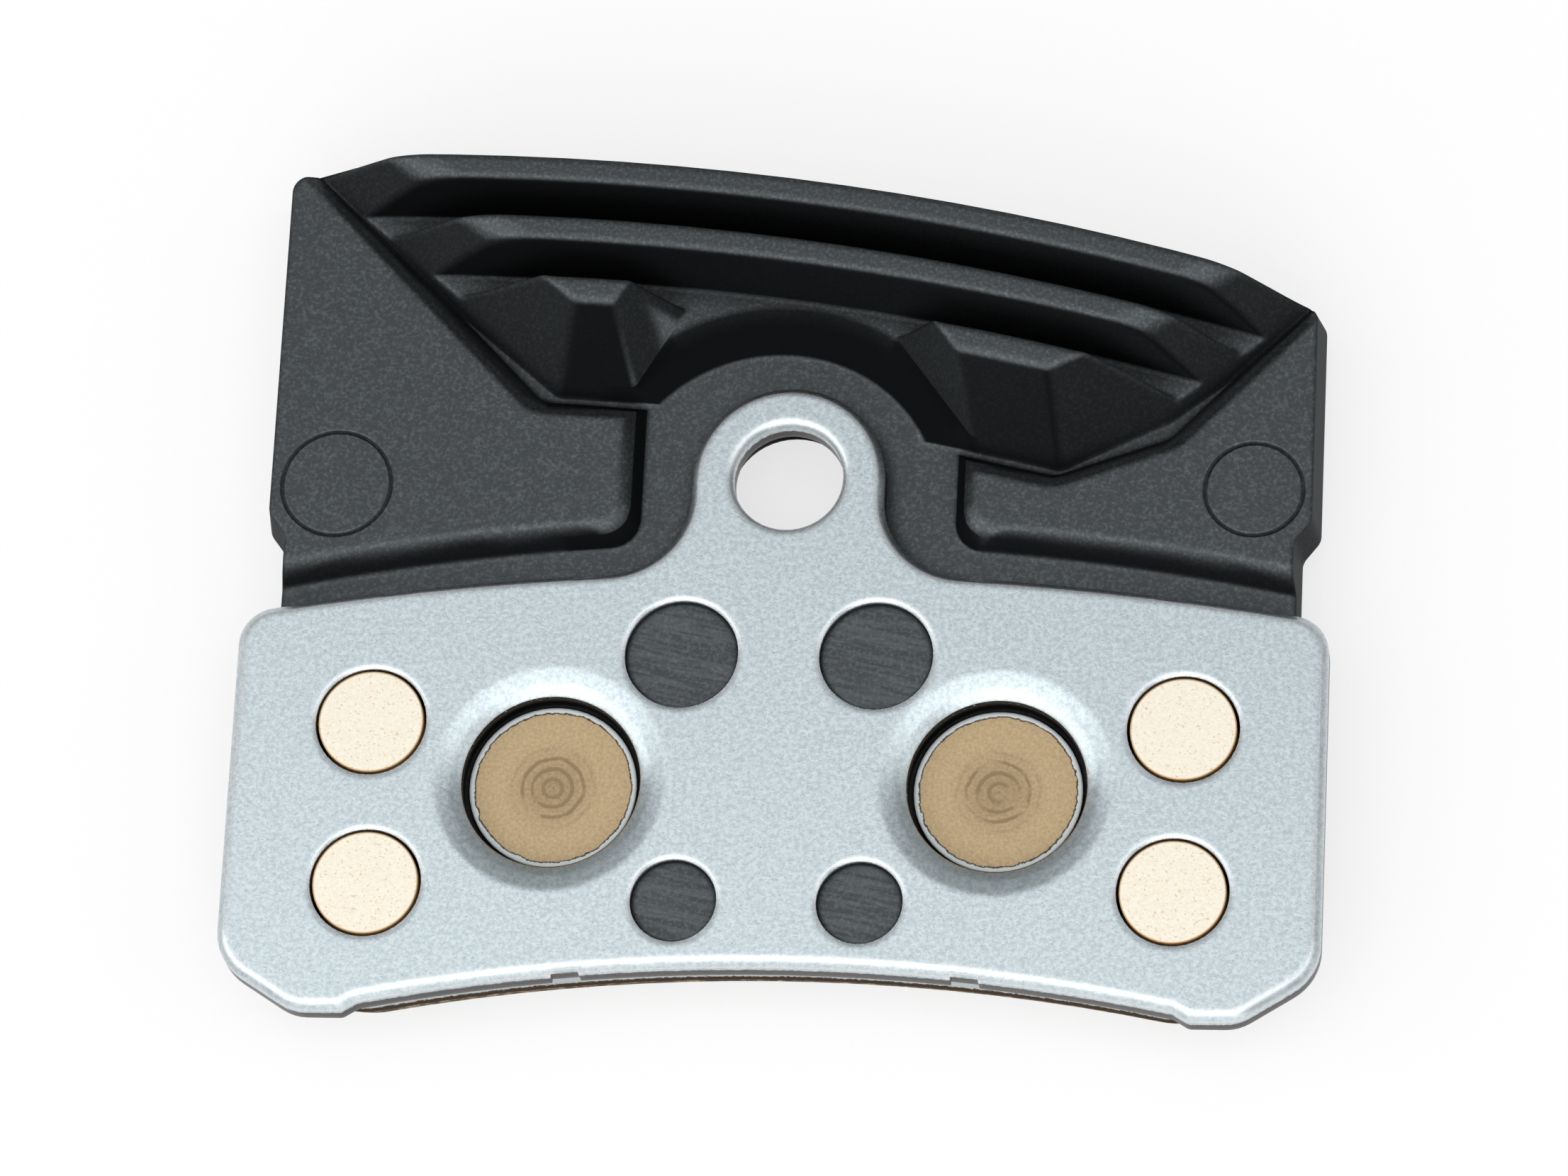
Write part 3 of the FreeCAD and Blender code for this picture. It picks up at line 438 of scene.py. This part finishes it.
@dataclass(frozen=True)
class TumbledStainless:
    """Pale stainless pressing, tumbled until its edges are round and its faces speckled, with a painted
    highlight on its edges and painted shade in its rivet holes and low on its side walls.
    """

    pale: Colour = srgb(206, 217, 221)
    dark: Colour = srgb(178, 190, 195)
    pit: Colour = srgb(128, 134, 140)
    # Painted shade for the walls of the rivet holes.
    painted_shade: Colour = srgb(44, 39, 34)
    # Painted highlight: near-white laid on the rounded edges.
    rim: Colour = srgb(250, 252, 253)
    # Dark colour low on the side walls: the rough shear zone, with painted shade.
    sheared_and_shaded: Colour = srgb(52, 48, 45)
    speckle_per_mm: float = 5.2
    speckle_height_mm: float = 0.0036
    speckle_weight: float = 0.7
    grain_per_mm: float = 9.0
    grain_height_mm: float = 0.002
    grain_weight: float = 0.3
    pale_range: Pair = (0.36, 0.64)
    pits_per_mm: float = 14.0
    pit_depth_mm: float = 0.002
    pit_range: Pair = (0.66, 0.74)
    pit_share: float = 0.3
    scratches_per_mm: float = 5.0
    scratch_stretch: Triple = (0.08, 1.0, 1.0)
    scratch_angles: Pair = (28.0, -52.0)
    scratch_range: Pair = (0.66, 0.78)
    scratch_depth_mm: float = 0.001
    roughness: Pair = (0.26, 0.4)
    scratch_polish: float = 0.04
    rim_polish: float = 0.06
    metallic: float = 0.95
    edge_round_mm: float = 0.36
    rim_range: Pair = (0.004, 0.1)
    wall_range: Pair = (0.5, 0.2)
    sheared_levels_mm: Pair = (3.5, 3.35)
    sheared_rag_mm: float = 0.3
    rivets_mm: tuple[Pair, ...] = ((-8.61, 0.0), (8.61, 0.0))
    rivet_hole_mm: Pair = (3.49, 3.46)
    hole_shade_range: Pair = (0.2, 0.4)

    def make(self) -> bpy.types.Material:
        """Builds the material.

        Returns:
            The finished material.
        """
        graph = ShaderGraph("tumbled_stainless")
        speckle = graph.noise(self.speckle_per_mm, detail=3.0, rough=0.7)
        grain = graph.noise(self.grain_per_mm, detail=2.0, rough=0.6)
        pits = graph.noise(self.pits_per_mm, detail=1.0).between(*self.pit_range)
        edges = graph.rounded(self.edge_round_mm)
        # How far the rounded edges lean: it lays the painted highlight and polishes the edges.
        wear_and_highlight = graph.edge_lean(edges).between(*self.rim_range)
        scratches = self.scratches(graph)
        mottle = speckle * self.speckle_weight + grain * self.grain_weight
        colour = graph.mix(mottle.between(*self.pale_range), self.dark, self.pale)
        colour = graph.mix(pits * self.pit_share, colour, self.pit)
        # Painted highlight on the rounded edges.
        colour = graph.mix(wear_and_highlight, colour, self.rim)
        # Shear zone and painted shade, low on the side walls.
        colour = graph.mix(self.shaded_sheared_walls(graph, speckle), colour, self.sheared_and_shaded)
        # Painted shade on the walls of the rivet holes, mottled by the grain.
        holes = graph.nearest(self.rivets_mm).between(*self.rivet_hole_mm)
        colour = graph.mix(holes * grain.between(*self.hole_shade_range), colour, self.painted_shade)
        height = speckle * self.speckle_height_mm + grain * self.grain_height_mm
        height = height - pits * self.pit_depth_mm - scratches * self.scratch_depth_mm
        rough = speckle.ramp(*self.roughness) - scratches * self.scratch_polish - wear_and_highlight * self.rim_polish
        return graph.feed(Base_Color=colour, Roughness=rough, Metallic=self.metallic,
                          Normal=graph.bumped(height, edges))

    def scratches(self, graph: ShaderGraph) -> Signal:
        """Draws fine straight scratches in two directions.

        Args:
            graph: Material to write in.

        Returns:
            Mask of the scratches.
        """
        first, second = (
            graph.noise(self.scratches_per_mm, detail=2.0, stretch=self.scratch_stretch, angle=angle)
            for angle in self.scratch_angles)
        return first.between(*self.scratch_range) + second.between(*self.scratch_range)

    def shaded_sheared_walls(self, graph: ShaderGraph, speckle: Signal) -> Signal:
        """Marks where the side walls are dark, low down, from shearing and from painted shade.

        Args:
            graph: Material to write in.
            speckle: Noise that makes the border ragged.

        Returns:
            Mask of the dark lower walls.
        """
        level = graph.level() + (speckle - 0.5) * self.sheared_rag_mm
        return abs(graph.upward()).between(*self.wall_range) * level.between(*self.sheared_levels_mm)


@dataclass(frozen=True)
class BlackCasting:
    """Die casting in satin black, with a painted grey sheen on its tops and ends, and painted shade that
    keeps its corners and dished relief black.

    Each mark and boss is given as x, y and radius, and so are the dished relief round the
    ear and the arc that the lower edge is trimmed along.
    """

    wall: Colour = srgb(16, 17, 18)
    # Painted sheen: the grey laid on tops and ends.
    sheen_grey: Colour = srgb(72, 76, 78)
    # Lighter grey of the painted sheen, for its grain and the brushed lines.
    bare_and_sheen: Colour = srgb(112, 117, 119)
    trim: Colour = srgb(188, 194, 194)
    smear: Colour = srgb(68, 55, 44)
    grain_per_mm: float = 7.0
    grain_height_mm: float = 0.008
    sheen_grain_range: Pair = (0.42, 0.75)
    sheen_grain_share: float = 0.6
    roughness: Pair = (0.36, 0.52)
    edge_round_mm: float = 0.32
    # Where the painted sheen falls: on tops, and partly on ends.
    top_range: Pair = (0.6, 0.95)
    end_share: float = 0.35
    # Painted shade in corners: the sheen fades near other surfaces within this distance.
    corner_mm: float = 1.2
    open_range: Pair = (0.3, 0.8)
    marks_mm: tuple[Triple, ...] = ((-17.75, 12.2, 2.15), (18.1, 12.2, 1.9))
    mark_line_mm: Pair = (0.12, 0.03)
    mark_facing: Pair = (0.8, 0.95)
    mark_share: float = 0.7
    mark_depth_mm: float = 0.04
    bosses_mm: tuple[Triple, ...] = (
        (-3.775, 5.14, 2.18), (3.775, 5.14, 2.18), (-3.575, -4.854, 1.64), (3.575, -4.854, 1.64))
    boss_fade_mm: float = 0.1
    boss_calm: float = 0.7
    lines_per_mm: float = 6.0
    line_stretch: Triple = (0.07, 1.0, 1.0)
    line_angle: float = 12.0
    line_range: Pair = (0.4, 0.6)
    line_share: float = 0.3
    line_height_mm: float = 0.004
    # Where painted shade covers the dished relief.
    dish_mm: Triple = (-0.6, 11.6, 8.4)
    dish_rim_mm: Pair = (0.1, -0.3)
    dish_blend_mm: Pair = (3.0, -1.0)
    dish_floor_mm: Pair = (2.82, 2.9)
    dish_top_mm: Pair = (3.5, 3.44)
    trim_arc_mm: Triple = (0.0, -85.4, 78.2)
    trim_depth_mm: Pair = (0.3, 0.2)
    trim_levels_mm: Pair = (1.84, 2.76)
    trim_fade_mm: float = 0.12
    trim_rag_mm: float = 0.4

    def make(self) -> bpy.types.Material:
        """Builds the material.

        Returns:
            The finished material.
        """
        graph = ShaderGraph("black_casting")
        edges = graph.rounded(self.edge_round_mm)
        grain = graph.noise(self.grain_per_mm, detail=3.0, rough=0.65)
        lines = graph.noise(self.lines_per_mm, detail=2.0, stretch=self.line_stretch, angle=self.line_angle)
        painted_sheen = self.painted_sheen(graph, edges)
        bosses = self.bosses(graph)
        marks = self.marks(graph)
        trimmed, smeared = self.lower_edge(graph, grain)
        colour = graph.mix(grain.between(*self.sheen_grain_range) * self.sheen_grain_share, self.sheen_grey, self.bare_and_sheen)
        colour = graph.mix(bosses * lines.between(*self.line_range) * self.line_share, colour, self.bare_and_sheen)
        # Painted sheen over the coat's black; the same mask makes these places metallic.
        colour = graph.mix(painted_sheen * (1.0 - marks * self.mark_share), self.wall, colour)
        colour = graph.mix(trimmed, colour, self.trim)
        colour = graph.mix(smeared, colour, self.smear)
        height = grain * self.grain_height_mm * (1.0 - bosses * self.boss_calm)
        height = height - marks * self.mark_depth_mm + bosses * lines * self.line_height_mm
        return graph.feed(Base_Color=colour, Roughness=grain.ramp(*self.roughness),
                          Metallic=painted_sheen.most(trimmed), Normal=graph.bumped(height, edges),
                          Specular_IOR_Level=0.0)

    def painted_sheen(self, graph: ShaderGraph, edges: Socket) -> Signal:
        """Marks where a grey sheen is painted: on tops and ends, but not where painted shade lies, in corners
        and over the dished relief.

        Args:
            graph: Material to write in.
            edges: Normals rounded at the edges.

        Returns:
            Mask of the painted sheen.
        """
        across, _, up = graph.axes(edges)
        facing = (abs(up).between(*self.top_range) + abs(across) * self.end_share).least(1.0)
        # Painted shade in corners, from how open the surface is.
        in_the_open = graph.openness(self.corner_mm).between(*self.open_range)
        return facing * (1.0 - self.shaded_dish(graph)) * in_the_open

    def shaded_dish(self, graph: ShaderGraph) -> Signal:
        """Marks the painted shade over the dished relief round the ear, weaker towards its rim.

        Args:
            graph: Material to write in.

        Returns:
            Mask of the painted shade.
        """
        x, y, rim = self.dish_mm
        level = graph.level()
        beyond_rim = graph.reach(x, y) - rim
        inside = beyond_rim.between(*self.dish_rim_mm) * beyond_rim.between(*self.dish_blend_mm)
        return inside * level.between(*self.dish_floor_mm) * level.between(*self.dish_top_mm)

    def lower_edge(self, graph: ShaderGraph, grain: Signal) -> tuple[Signal, Signal]:
        """Marks the flange's lower edge, trimmed down to the metal, over a smear from the lining.

        Args:
            graph: Material to write in.
            grain: Noise that makes the borders ragged.

        Returns:
            Where the metal shows, and where the smear is.
        """
        x, y, radius = self.trim_arc_mm
        low, high = self.trim_levels_mm
        fade = self.trim_fade_mm
        edge = (graph.reach(x, y) - radius).between(*self.trim_depth_mm)
        level = graph.level() + (grain - 0.5) * self.trim_rag_mm
        bare_and_sheen = edge * level.between(low, low + fade) * level.between(high, high - fade)
        return bare_and_sheen, edge * level.between(low + fade, low)

    def bosses(self, graph: ShaderGraph) -> Signal:
        """Where the tops of the locating bosses are."""
        return graph.any_of([
            graph.reach(x, y).between(radius, radius - self.boss_fade_mm) for x, y, radius in self.bosses_mm])

    def marks(self, graph: ShaderGraph) -> Signal:
        """Thin round lines that the die's inserts leave on the flats."""
        rings = graph.any_of([
            abs(graph.reach(x, y) - radius).between(*self.mark_line_mm) for x, y, radius in self.marks_mm])
        return rings * graph.upward().between(*self.mark_facing)


@dataclass(frozen=True)
class SinteredLining:
    """Sintered friction block: bronze matrix with dark and silver grains, ground flat."""

    bronze: Colour = srgb(178, 150, 104)
    cream: Colour = srgb(206, 188, 150)
    dark: Colour = srgb(58, 52, 46)
    silver: Colour = srgb(176, 176, 174)
    brown: Colour = srgb(70, 54, 40)
    blotches_per_mm: float = 1.6
    blotch_range: Pair = (0.35, 0.65)
    blotch_height_mm: float = 0.02
    grains_per_mm: float = 3.2
    dark_pick: Pair = (0.7, 0.72)
    dark_range: Pair = (0.55, 0.4)
    dark_depth_mm: float = 0.03
    silver_pick: Pair = (0.2, 0.18)
    silver_range: Pair = (0.5, 0.38)
    wall_range: Pair = (0.75, 0.5)
    rag_per_mm: float = 2.4
    rag_range: Pair = (0.25, 0.6)
    rag_height_mm: float = 0.12
    lines_per_mm: float = 3.0
    line_stretch: Triple = (0.05, 1.0, 1.0)
    line_angle: float = 35.0
    line_height_mm: float = 0.012
    roughness: Pair = (0.42, 0.66)
    metallic: float = 0.55
    edge_round_mm: float = 0.15

    def make(self) -> bpy.types.Material:
        """Builds the material.

        Returns:
            The finished material.
        """
        graph = ShaderGraph("sintered_lining")
        blotch = graph.noise(self.blotches_per_mm, detail=4.0, rough=0.7)
        rag = graph.noise(self.rag_per_mm, detail=4.0, rough=0.7)
        lines = graph.noise(self.lines_per_mm, detail=2.0, stretch=self.line_stretch, angle=self.line_angle)
        distance, tint = graph.cells(self.grains_per_mm)
        pick = graph.axes(tint)[0]
        dark = pick.between(*self.dark_pick) * distance.between(*self.dark_range)
        silver = pick.between(*self.silver_pick) * distance.between(*self.silver_range)
        side = abs(graph.upward()).between(*self.wall_range)
        colour = graph.mix(blotch.between(*self.blotch_range), self.bronze, self.cream)
        colour = graph.mix(dark, colour, self.dark)
        colour = graph.mix(silver, colour, self.silver)
        colour = graph.mix(side * rag.between(*self.rag_range), colour, self.brown)
        height = lines * self.line_height_mm - dark * self.dark_depth_mm
        height = height + blotch * self.blotch_height_mm + side * rag * self.rag_height_mm
        normal = graph.bumped(height, graph.rounded(self.edge_round_mm))
        return graph.feed(Base_Color=colour, Roughness=blotch.ramp(*self.roughness),
                          Metallic=self.metallic, Normal=normal)


@dataclass(frozen=True)
class RivetBronze:
    """Formed bronze head: a few rings from use in its middle, and at its edge a ragged ring of painted shade
    inside a ragged painted highlight.
    """

    tan: Colour = srgb(190, 167, 130)
    brown: Colour = srgb(140, 119, 88)
    # Painted highlight at the edge of the head.
    silver: Colour = srgb(200, 205, 206)
    # Painted shade at the edge of the head.
    painted_shade: Colour = srgb(58, 50, 42)
    rivets_mm: tuple[Pair, ...] = ((-8.61, 0.0), (8.61, 0.0))
    grain_per_mm: float = 8.0
    grain_height_mm: float = 0.006
    grain_range: Pair = (0.3, 0.7)
    grain_share: float = 0.4
    drift_per_mm: float = 0.7
    drift_range: Pair = (0.3, 0.55)
    ring_drift_mm: float = 0.3
    ring_radians_per_mm: float = 15.0
    ring_reach_mm: Pair = (1.9, 1.0)
    ring_share: float = 0.7
    ring_depth_mm: float = 0.004
    worn_reach_mm: Pair = (2.2, 0.4)
    worn_share: float = 0.45
    rag_per_mm: float = 2.6
    rag_mm: float = 0.3
    edge_shade_reach_mm: Pair = (2.99, 3.03)
    rim_highlight_reach_mm: Pair = (3.05, 3.08)
    roughness: Pair = (0.42, 0.58)
    metallic: float = 0.5
    edge_round_mm: float = 0.14

    def make(self) -> bpy.types.Material:
        """Builds the material.

        Returns:
            The finished material.
        """
        graph = ShaderGraph("rivet_bronze")
        reach = graph.nearest(self.rivets_mm)
        grain = graph.noise(self.grain_per_mm, detail=3.0, rough=0.65)
        drift = graph.noise(self.drift_per_mm, detail=1.0)
        turning = (reach + drift * self.ring_drift_mm) * self.ring_radians_per_mm
        rings = turning.wave().between(0.0, 1.0) * reach.between(*self.ring_reach_mm)
        rings = rings * drift.between(*self.drift_range)
        # The middle of the head is browned by use.
        wear_and_highlight = reach.between(*self.worn_reach_mm) * self.worn_share
        browned = grain.between(*self.grain_range) * self.grain_share + rings * self.ring_share + wear_and_highlight
        colour = graph.mix(browned, self.tan, self.brown)
        ragged = reach + (graph.noise(self.rag_per_mm, detail=4.0, rough=0.75) - 0.5) * self.rag_mm
        # Painted shade: a dark ragged ring just inside the highlight.
        colour = graph.mix(ragged.between(*self.edge_shade_reach_mm), colour, self.painted_shade)
        # Painted highlight: a ragged silver ring at the edge of the head.
        colour = graph.mix(ragged.between(*self.rim_highlight_reach_mm), colour, self.silver)
        height = grain * self.grain_height_mm - rings * self.ring_depth_mm
        normal = graph.bumped(height, graph.rounded(self.edge_round_mm))
        return graph.feed(Base_Color=colour, Roughness=grain.ramp(*self.roughness),
                          Metallic=self.metallic, Normal=normal)


@dataclass(frozen=True)
class StudBronze:
    """Pale bronze stud ends, ground flat and finely speckled."""

    cream: Colour = srgb(240, 235, 220)
    gold: Colour = srgb(232, 218, 193)
    speck: Colour = srgb(206, 180, 136)
    rim: Colour = srgb(186, 146, 96)
    studs_mm: tuple[Pair, ...] = ((-15.7, 2.255), (15.7, 2.255), (-15.5, -4.29), (15.5, -4.29))
    rim_reach_mm: Pair = (1.96, 2.04)
    grain_per_mm: float = 9.0
    grain_height_mm: float = 0.006
    grain_range: Pair = (0.35, 0.7)
    grain_share: float = 0.6
    specks_per_mm: float = 10.0
    speck_depth_mm: float = 0.003
    speck_range: Pair = (0.64, 0.72)
    speck_share: float = 0.6
    roughness: Pair = (0.42, 0.56)
    metallic: float = 0.5
    edge_round_mm: float = 0.1

    def make(self) -> bpy.types.Material:
        """Builds the material.

        Returns:
            The finished material.
        """
        graph = ShaderGraph("stud_bronze")
        grain = graph.noise(self.grain_per_mm, detail=3.0, rough=0.7)
        speck = graph.noise(self.specks_per_mm, detail=1.0).between(*self.speck_range)
        rim = graph.nearest(self.studs_mm).between(*self.rim_reach_mm)
        colour = graph.mix(grain.between(*self.grain_range) * self.grain_share, self.cream, self.gold)
        colour = graph.mix(speck * self.speck_share, colour, self.speck)
        colour = graph.mix(rim, colour, self.rim)
        height = grain * self.grain_height_mm - speck * self.speck_depth_mm
        normal = graph.bumped(height, graph.rounded(self.edge_round_mm))
        return graph.feed(Base_Color=colour, Roughness=grain.ramp(*self.roughness),
                          Metallic=self.metallic, Normal=normal)


@dataclass(frozen=True)
class CarrierSteel:
    """Plain grey steel of the hidden carrier."""

    grey: Colour = srgb(128, 128, 130)
    stain: Colour = srgb(94, 90, 86)
    clouds_per_mm: float = 1.2
    cloud_height_mm: float = 0.006
    stain_range: Pair = (0.35, 0.7)
    roughness: Pair = (0.4, 0.55)
    metallic: float = 0.9
    edge_round_mm: float = 0.1

    def make(self) -> bpy.types.Material:
        """Builds the material.

        Returns:
            The finished material.
        """
        graph = ShaderGraph("carrier_steel")
        cloud = graph.noise(self.clouds_per_mm, detail=3.0)
        colour = graph.mix(cloud.between(*self.stain_range), self.grey, self.stain)
        normal = graph.bumped(cloud * self.cloud_height_mm, graph.rounded(self.edge_round_mm))
        return graph.feed(Base_Color=colour, Roughness=cloud.ramp(*self.roughness),
                          Metallic=self.metallic, Normal=normal)


# The pad's pieces


@dataclass(frozen=True)
class DressedNode:
    """One CAD node that is shown as it is, with a finish."""

    name: str
    slot: Slot

    def dress(self, material: bpy.types.Material) -> bpy.types.Object:
        """Gives the node its material.

        Args:
            material: Finish of the node.

        Returns:
            The node's object.
        """
        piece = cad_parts[self.name]
        piece.data.materials.clear()
        piece.data.materials.append(material)
        log.info("%s: %s", self.name, material.name)
        return piece


@dataclass
class PistonSide:
    """The stainless back plate that the pistons press on."""

    plate: DressedNode = DressedNode("back_plate", Slot.PLATE)
    finish: TumbledStainless = TumbledStainless()

    def build(self) -> list[bpy.types.Object]:
        """Dresses the plate and returns it in a list."""
        return [self.plate.dress(self.finish.make())]


@dataclass(frozen=True)
class EdgeRounding:
    """Which outer edges of a casting are rounded, and by how much.

    An edge is picked if its two ends lie above their levels, the angle between its faces
    is in the range, and its middle is far enough from the middle of the pad.
    """

    offset_mm: float
    segments: int
    upper_end_mm: float
    lower_end_mm: float = 0.0
    angles: Pair = (18.0, 180.0)
    outside_mm: float = 0.0

    def picks(self, edge: bmesh.types.BMEdge) -> bool:
        """Tells whether an edge is one of those to round.

        Args:
            edge: Edge of the casting's mesh.

        Returns:
            True if the edge is to be rounded.
        """
        if not edge.is_convex:
            return False
        low, high = sorted(vertex.co.z for vertex in edge.verts)
        middle = (edge.verts[0].co + edge.verts[1].co) / 2
        angle = math.degrees(edge.calc_face_angle())
        above = high > self.upper_end_mm * MM and low > self.lower_end_mm * MM
        return above and self.angles[0] < angle < self.angles[1] and abs(middle.x) > self.outside_mm * MM

    def apply(self, mesh: bmesh.types.BMesh) -> None:
        """Rounds the picked edges of a mesh.

        Args:
            mesh: The casting's mesh.
        """
        edges = [edge for edge in mesh.edges if self.picks(edge)]
        bmesh.ops.bevel(mesh, geom=edges, offset=self.offset_mm * MM, offset_type="OFFSET",
                        segments=self.segments, profile=0.5, affect="EDGES",
                        clamp_overlap=False, loop_slide=True)


@dataclass
class FinCasting:
    """The ribbed casting between plate and lining, with the soft edges of a die casting."""

    node: str = "cooling_fin"
    piece_name: str = "soft_edged_casting"
    slot: Slot = Slot.CASTING
    weld_mm: float = 0.002
    flat_angle: float = 0.6
    smooth_angle: float = 21.0
    rib_ends: EdgeRounding = EdgeRounding(
        offset_mm=1.0, segments=8, upper_end_mm=6.6, lower_end_mm=6.6, angles=(50.0, 62.0), outside_mm=11.5)
    ribs: EdgeRounding = EdgeRounding(offset_mm=0.2, segments=5, upper_end_mm=4.2)
    finish: BlackCasting = BlackCasting()

    def build(self) -> list[bpy.types.Object]:
        """Builds the soft-edged casting in place of the CAD node.

        Returns:
            The casting, in a list.
        """
        material = self.finish.make()
        piece = self.soften(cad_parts[self.node])
        piece.data.materials.append(material)
        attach(piece, "root")
        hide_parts(self.node)
        log.info("%s: %s", piece.name, material.name)
        return [piece]

    def soften(self, source: bpy.types.Object) -> bpy.types.Object:
        """Copies the node's mesh, joins its flat facets and rounds its outer edges.

        Args:
            source: The CAD node.

        Returns:
            The new object.
        """
        mesh = bmesh.new()
        mesh.from_mesh(source.data)
        bmesh.ops.remove_doubles(mesh, verts=mesh.verts, dist=self.weld_mm * MM)
        bmesh.ops.dissolve_limit(mesh, angle_limit=math.radians(self.flat_angle),
                                 verts=mesh.verts, edges=mesh.edges)
        for rounding in (self.rib_ends, self.ribs):
            rounding.apply(mesh)
        data = bpy.data.meshes.new(self.piece_name)
        mesh.to_mesh(data)
        mesh.free()
        data.shade_smooth()
        data.set_sharp_from_angle(angle=math.radians(self.smooth_angle))
        piece = bpy.data.objects.new(self.piece_name, data)
        bpy.context.scene.collection.objects.link(piece)
        normals = piece.modifiers.new("even_normals", "WEIGHTED_NORMAL")
        normals.keep_sharp = True
        return piece


@dataclass
class FrictionSide:
    """The lining and the carrier that it is sintered to."""

    lining: DressedNode = DressedNode("friction_lining", Slot.LINING)
    carrier: DressedNode = DressedNode("friction_carrier", Slot.CARRIER)
    lining_finish: SinteredLining = SinteredLining()
    carrier_finish: CarrierSteel = CarrierSteel()

    def build(self) -> list[bpy.types.Object]:
        """Dresses both pieces.

        Returns:
            The lining and the carrier.
        """
        return [
            self.lining.dress(self.lining_finish.make()),
            self.carrier.dress(self.carrier_finish.make()),
        ]


@dataclass
class Fasteners:
    """The two rivets and the four corner studs."""

    rivets: tuple[str, ...] = ("rivet_left", "rivet_right")
    studs: tuple[str, ...] = ("stud_upper_left", "stud_upper_right", "stud_lower_left", "stud_lower_right")
    rivet_finish: RivetBronze = RivetBronze()
    stud_finish: StudBronze = StudBronze()

    def build(self) -> list[bpy.types.Object]:
        """Dresses every fastener.

        Returns:
            The rivets and the studs.
        """
        rivet = self.rivet_finish.make()
        stud = self.stud_finish.make()
        pieces = [DressedNode(name, Slot.RIVET).dress(rivet) for name in self.rivets]
        pieces += [DressedNode(name, Slot.STUD).dress(stud) for name in self.studs]
        return pieces


# Studio


@dataclass(frozen=True)
class SoftBox:
    """One rectangular lamp that points at the pad."""

    name: str
    place: Triple
    size: Pair
    watts: float

    def hang(self) -> None:
        """Hangs the lamp."""
        data = bpy.data.lights.new(self.name, "AREA")
        data.shape = "RECTANGLE"
        data.size, data.size_y = self.size
        data.energy = self.watts
        lamp = bpy.data.objects.new(self.name, data)
        lamp.location = self.place
        lamp.rotation_euler = (-Vector(self.place)).to_track_quat("-Z", "Y").to_euler()
        bpy.context.scene.collection.objects.link(lamp)


@dataclass
class Studio:
    """Floor, soft light, white surroundings and the camera."""

    floor_size: float = 3.0
    floor_colour: Colour = srgb(236, 236, 236)
    floor_roughness: float = 0.9
    floor_glow: float = 0.7
    lamps: tuple[SoftBox, ...] = (
        SoftBox("overhead", place=(-0.04, -0.2, 0.84), size=(1.3, 1.1), watts=6.0),
        SoftBox("front", place=(-0.15, -0.8, 0.55), size=(1.6, 0.5), watts=5.0),
        SoftBox("left", place=(-0.85, -0.1, 0.5), size=(0.7, 0.5), watts=2.0),
        SoftBox("right", place=(0.85, -0.1, 0.5), size=(0.7, 0.5), watts=1.2),
    )
    room_light: float = 0.36
    camera_mm: Triple = (38.82, -105.74, 309.15)
    camera_up: Triple = (-0.0039, 0.9255, 0.3786)
    lens_mm: float = 195.0
    sensor_mm: float = 36.0
    nearest_seen: float = 0.01
    farthest_seen: float = 20.0

    def build(self) -> None:
        """Builds the whole studio."""
        self.lay_floor()
        for lamp in self.lamps:
            lamp.hang()
        self.light_surroundings()
        self.place_camera()

    def lay_floor(self) -> None:
        """Lays a pale floor that looks white, with a soft shadow round the pad."""
        bpy.ops.mesh.primitive_plane_add(size=self.floor_size, location=(0, 0, cad_box[0][2]))
        floor = bpy.context.object
        floor.name = "floor"
        graph = ShaderGraph("pale_floor")
        material = graph.feed(Base_Color=self.floor_colour, Roughness=self.floor_roughness)
        graph.glow_to_camera(self.floor_glow)
        floor.data.materials.append(material)

    def light_surroundings(self) -> None:
        """Fills the surroundings with even pale light."""
        world = bpy.data.worlds.new("pale_room")
        bpy.context.scene.world = world
        world.use_nodes = True
        background = world.node_tree.nodes["Background"]
        background.inputs["Color"].default_value = (*WHITE, 1.0)
        background.inputs["Strength"].default_value = self.room_light

    def place_camera(self) -> None:
        """Puts the camera at the photograph's viewing angle, aimed at the pad's middle."""
        data = bpy.data.cameras.new("camera")
        data.sensor_width = self.sensor_mm
        data.lens = self.lens_mm
        data.clip_start = self.nearest_seen
        data.clip_end = self.farthest_seen
        camera = bpy.data.objects.new("camera", data)
        middle = (Vector(cad_box[0]) + Vector(cad_box[1])) / 2
        place = Vector(self.camera_mm) * MM
        ahead = (middle - place).normalized()
        right = ahead.cross(Vector(self.camera_up)).normalized()
        above = right.cross(ahead)
        turn = Matrix((right, above, -ahead)).transposed().to_4x4()
        camera.matrix_world = Matrix.Translation(place) @ turn
        bpy.context.scene.collection.objects.link(camera)
        bpy.context.scene.camera = camera


def main() -> None:
    """Builds the pad and its studio in order."""
    logging.basicConfig(level=logging.INFO, format="%(message)s")
    bpy.context.scene.view_settings.view_transform = "Standard"
    for assembly in (PistonSide(), FinCasting(), FrictionSide(), Fasteners()):
        pieces = assembly.build()
        log.info("%s: %d pieces", type(assembly).__name__, len(pieces))
    Studio().build()


if __name__ == "__main__":
    main()
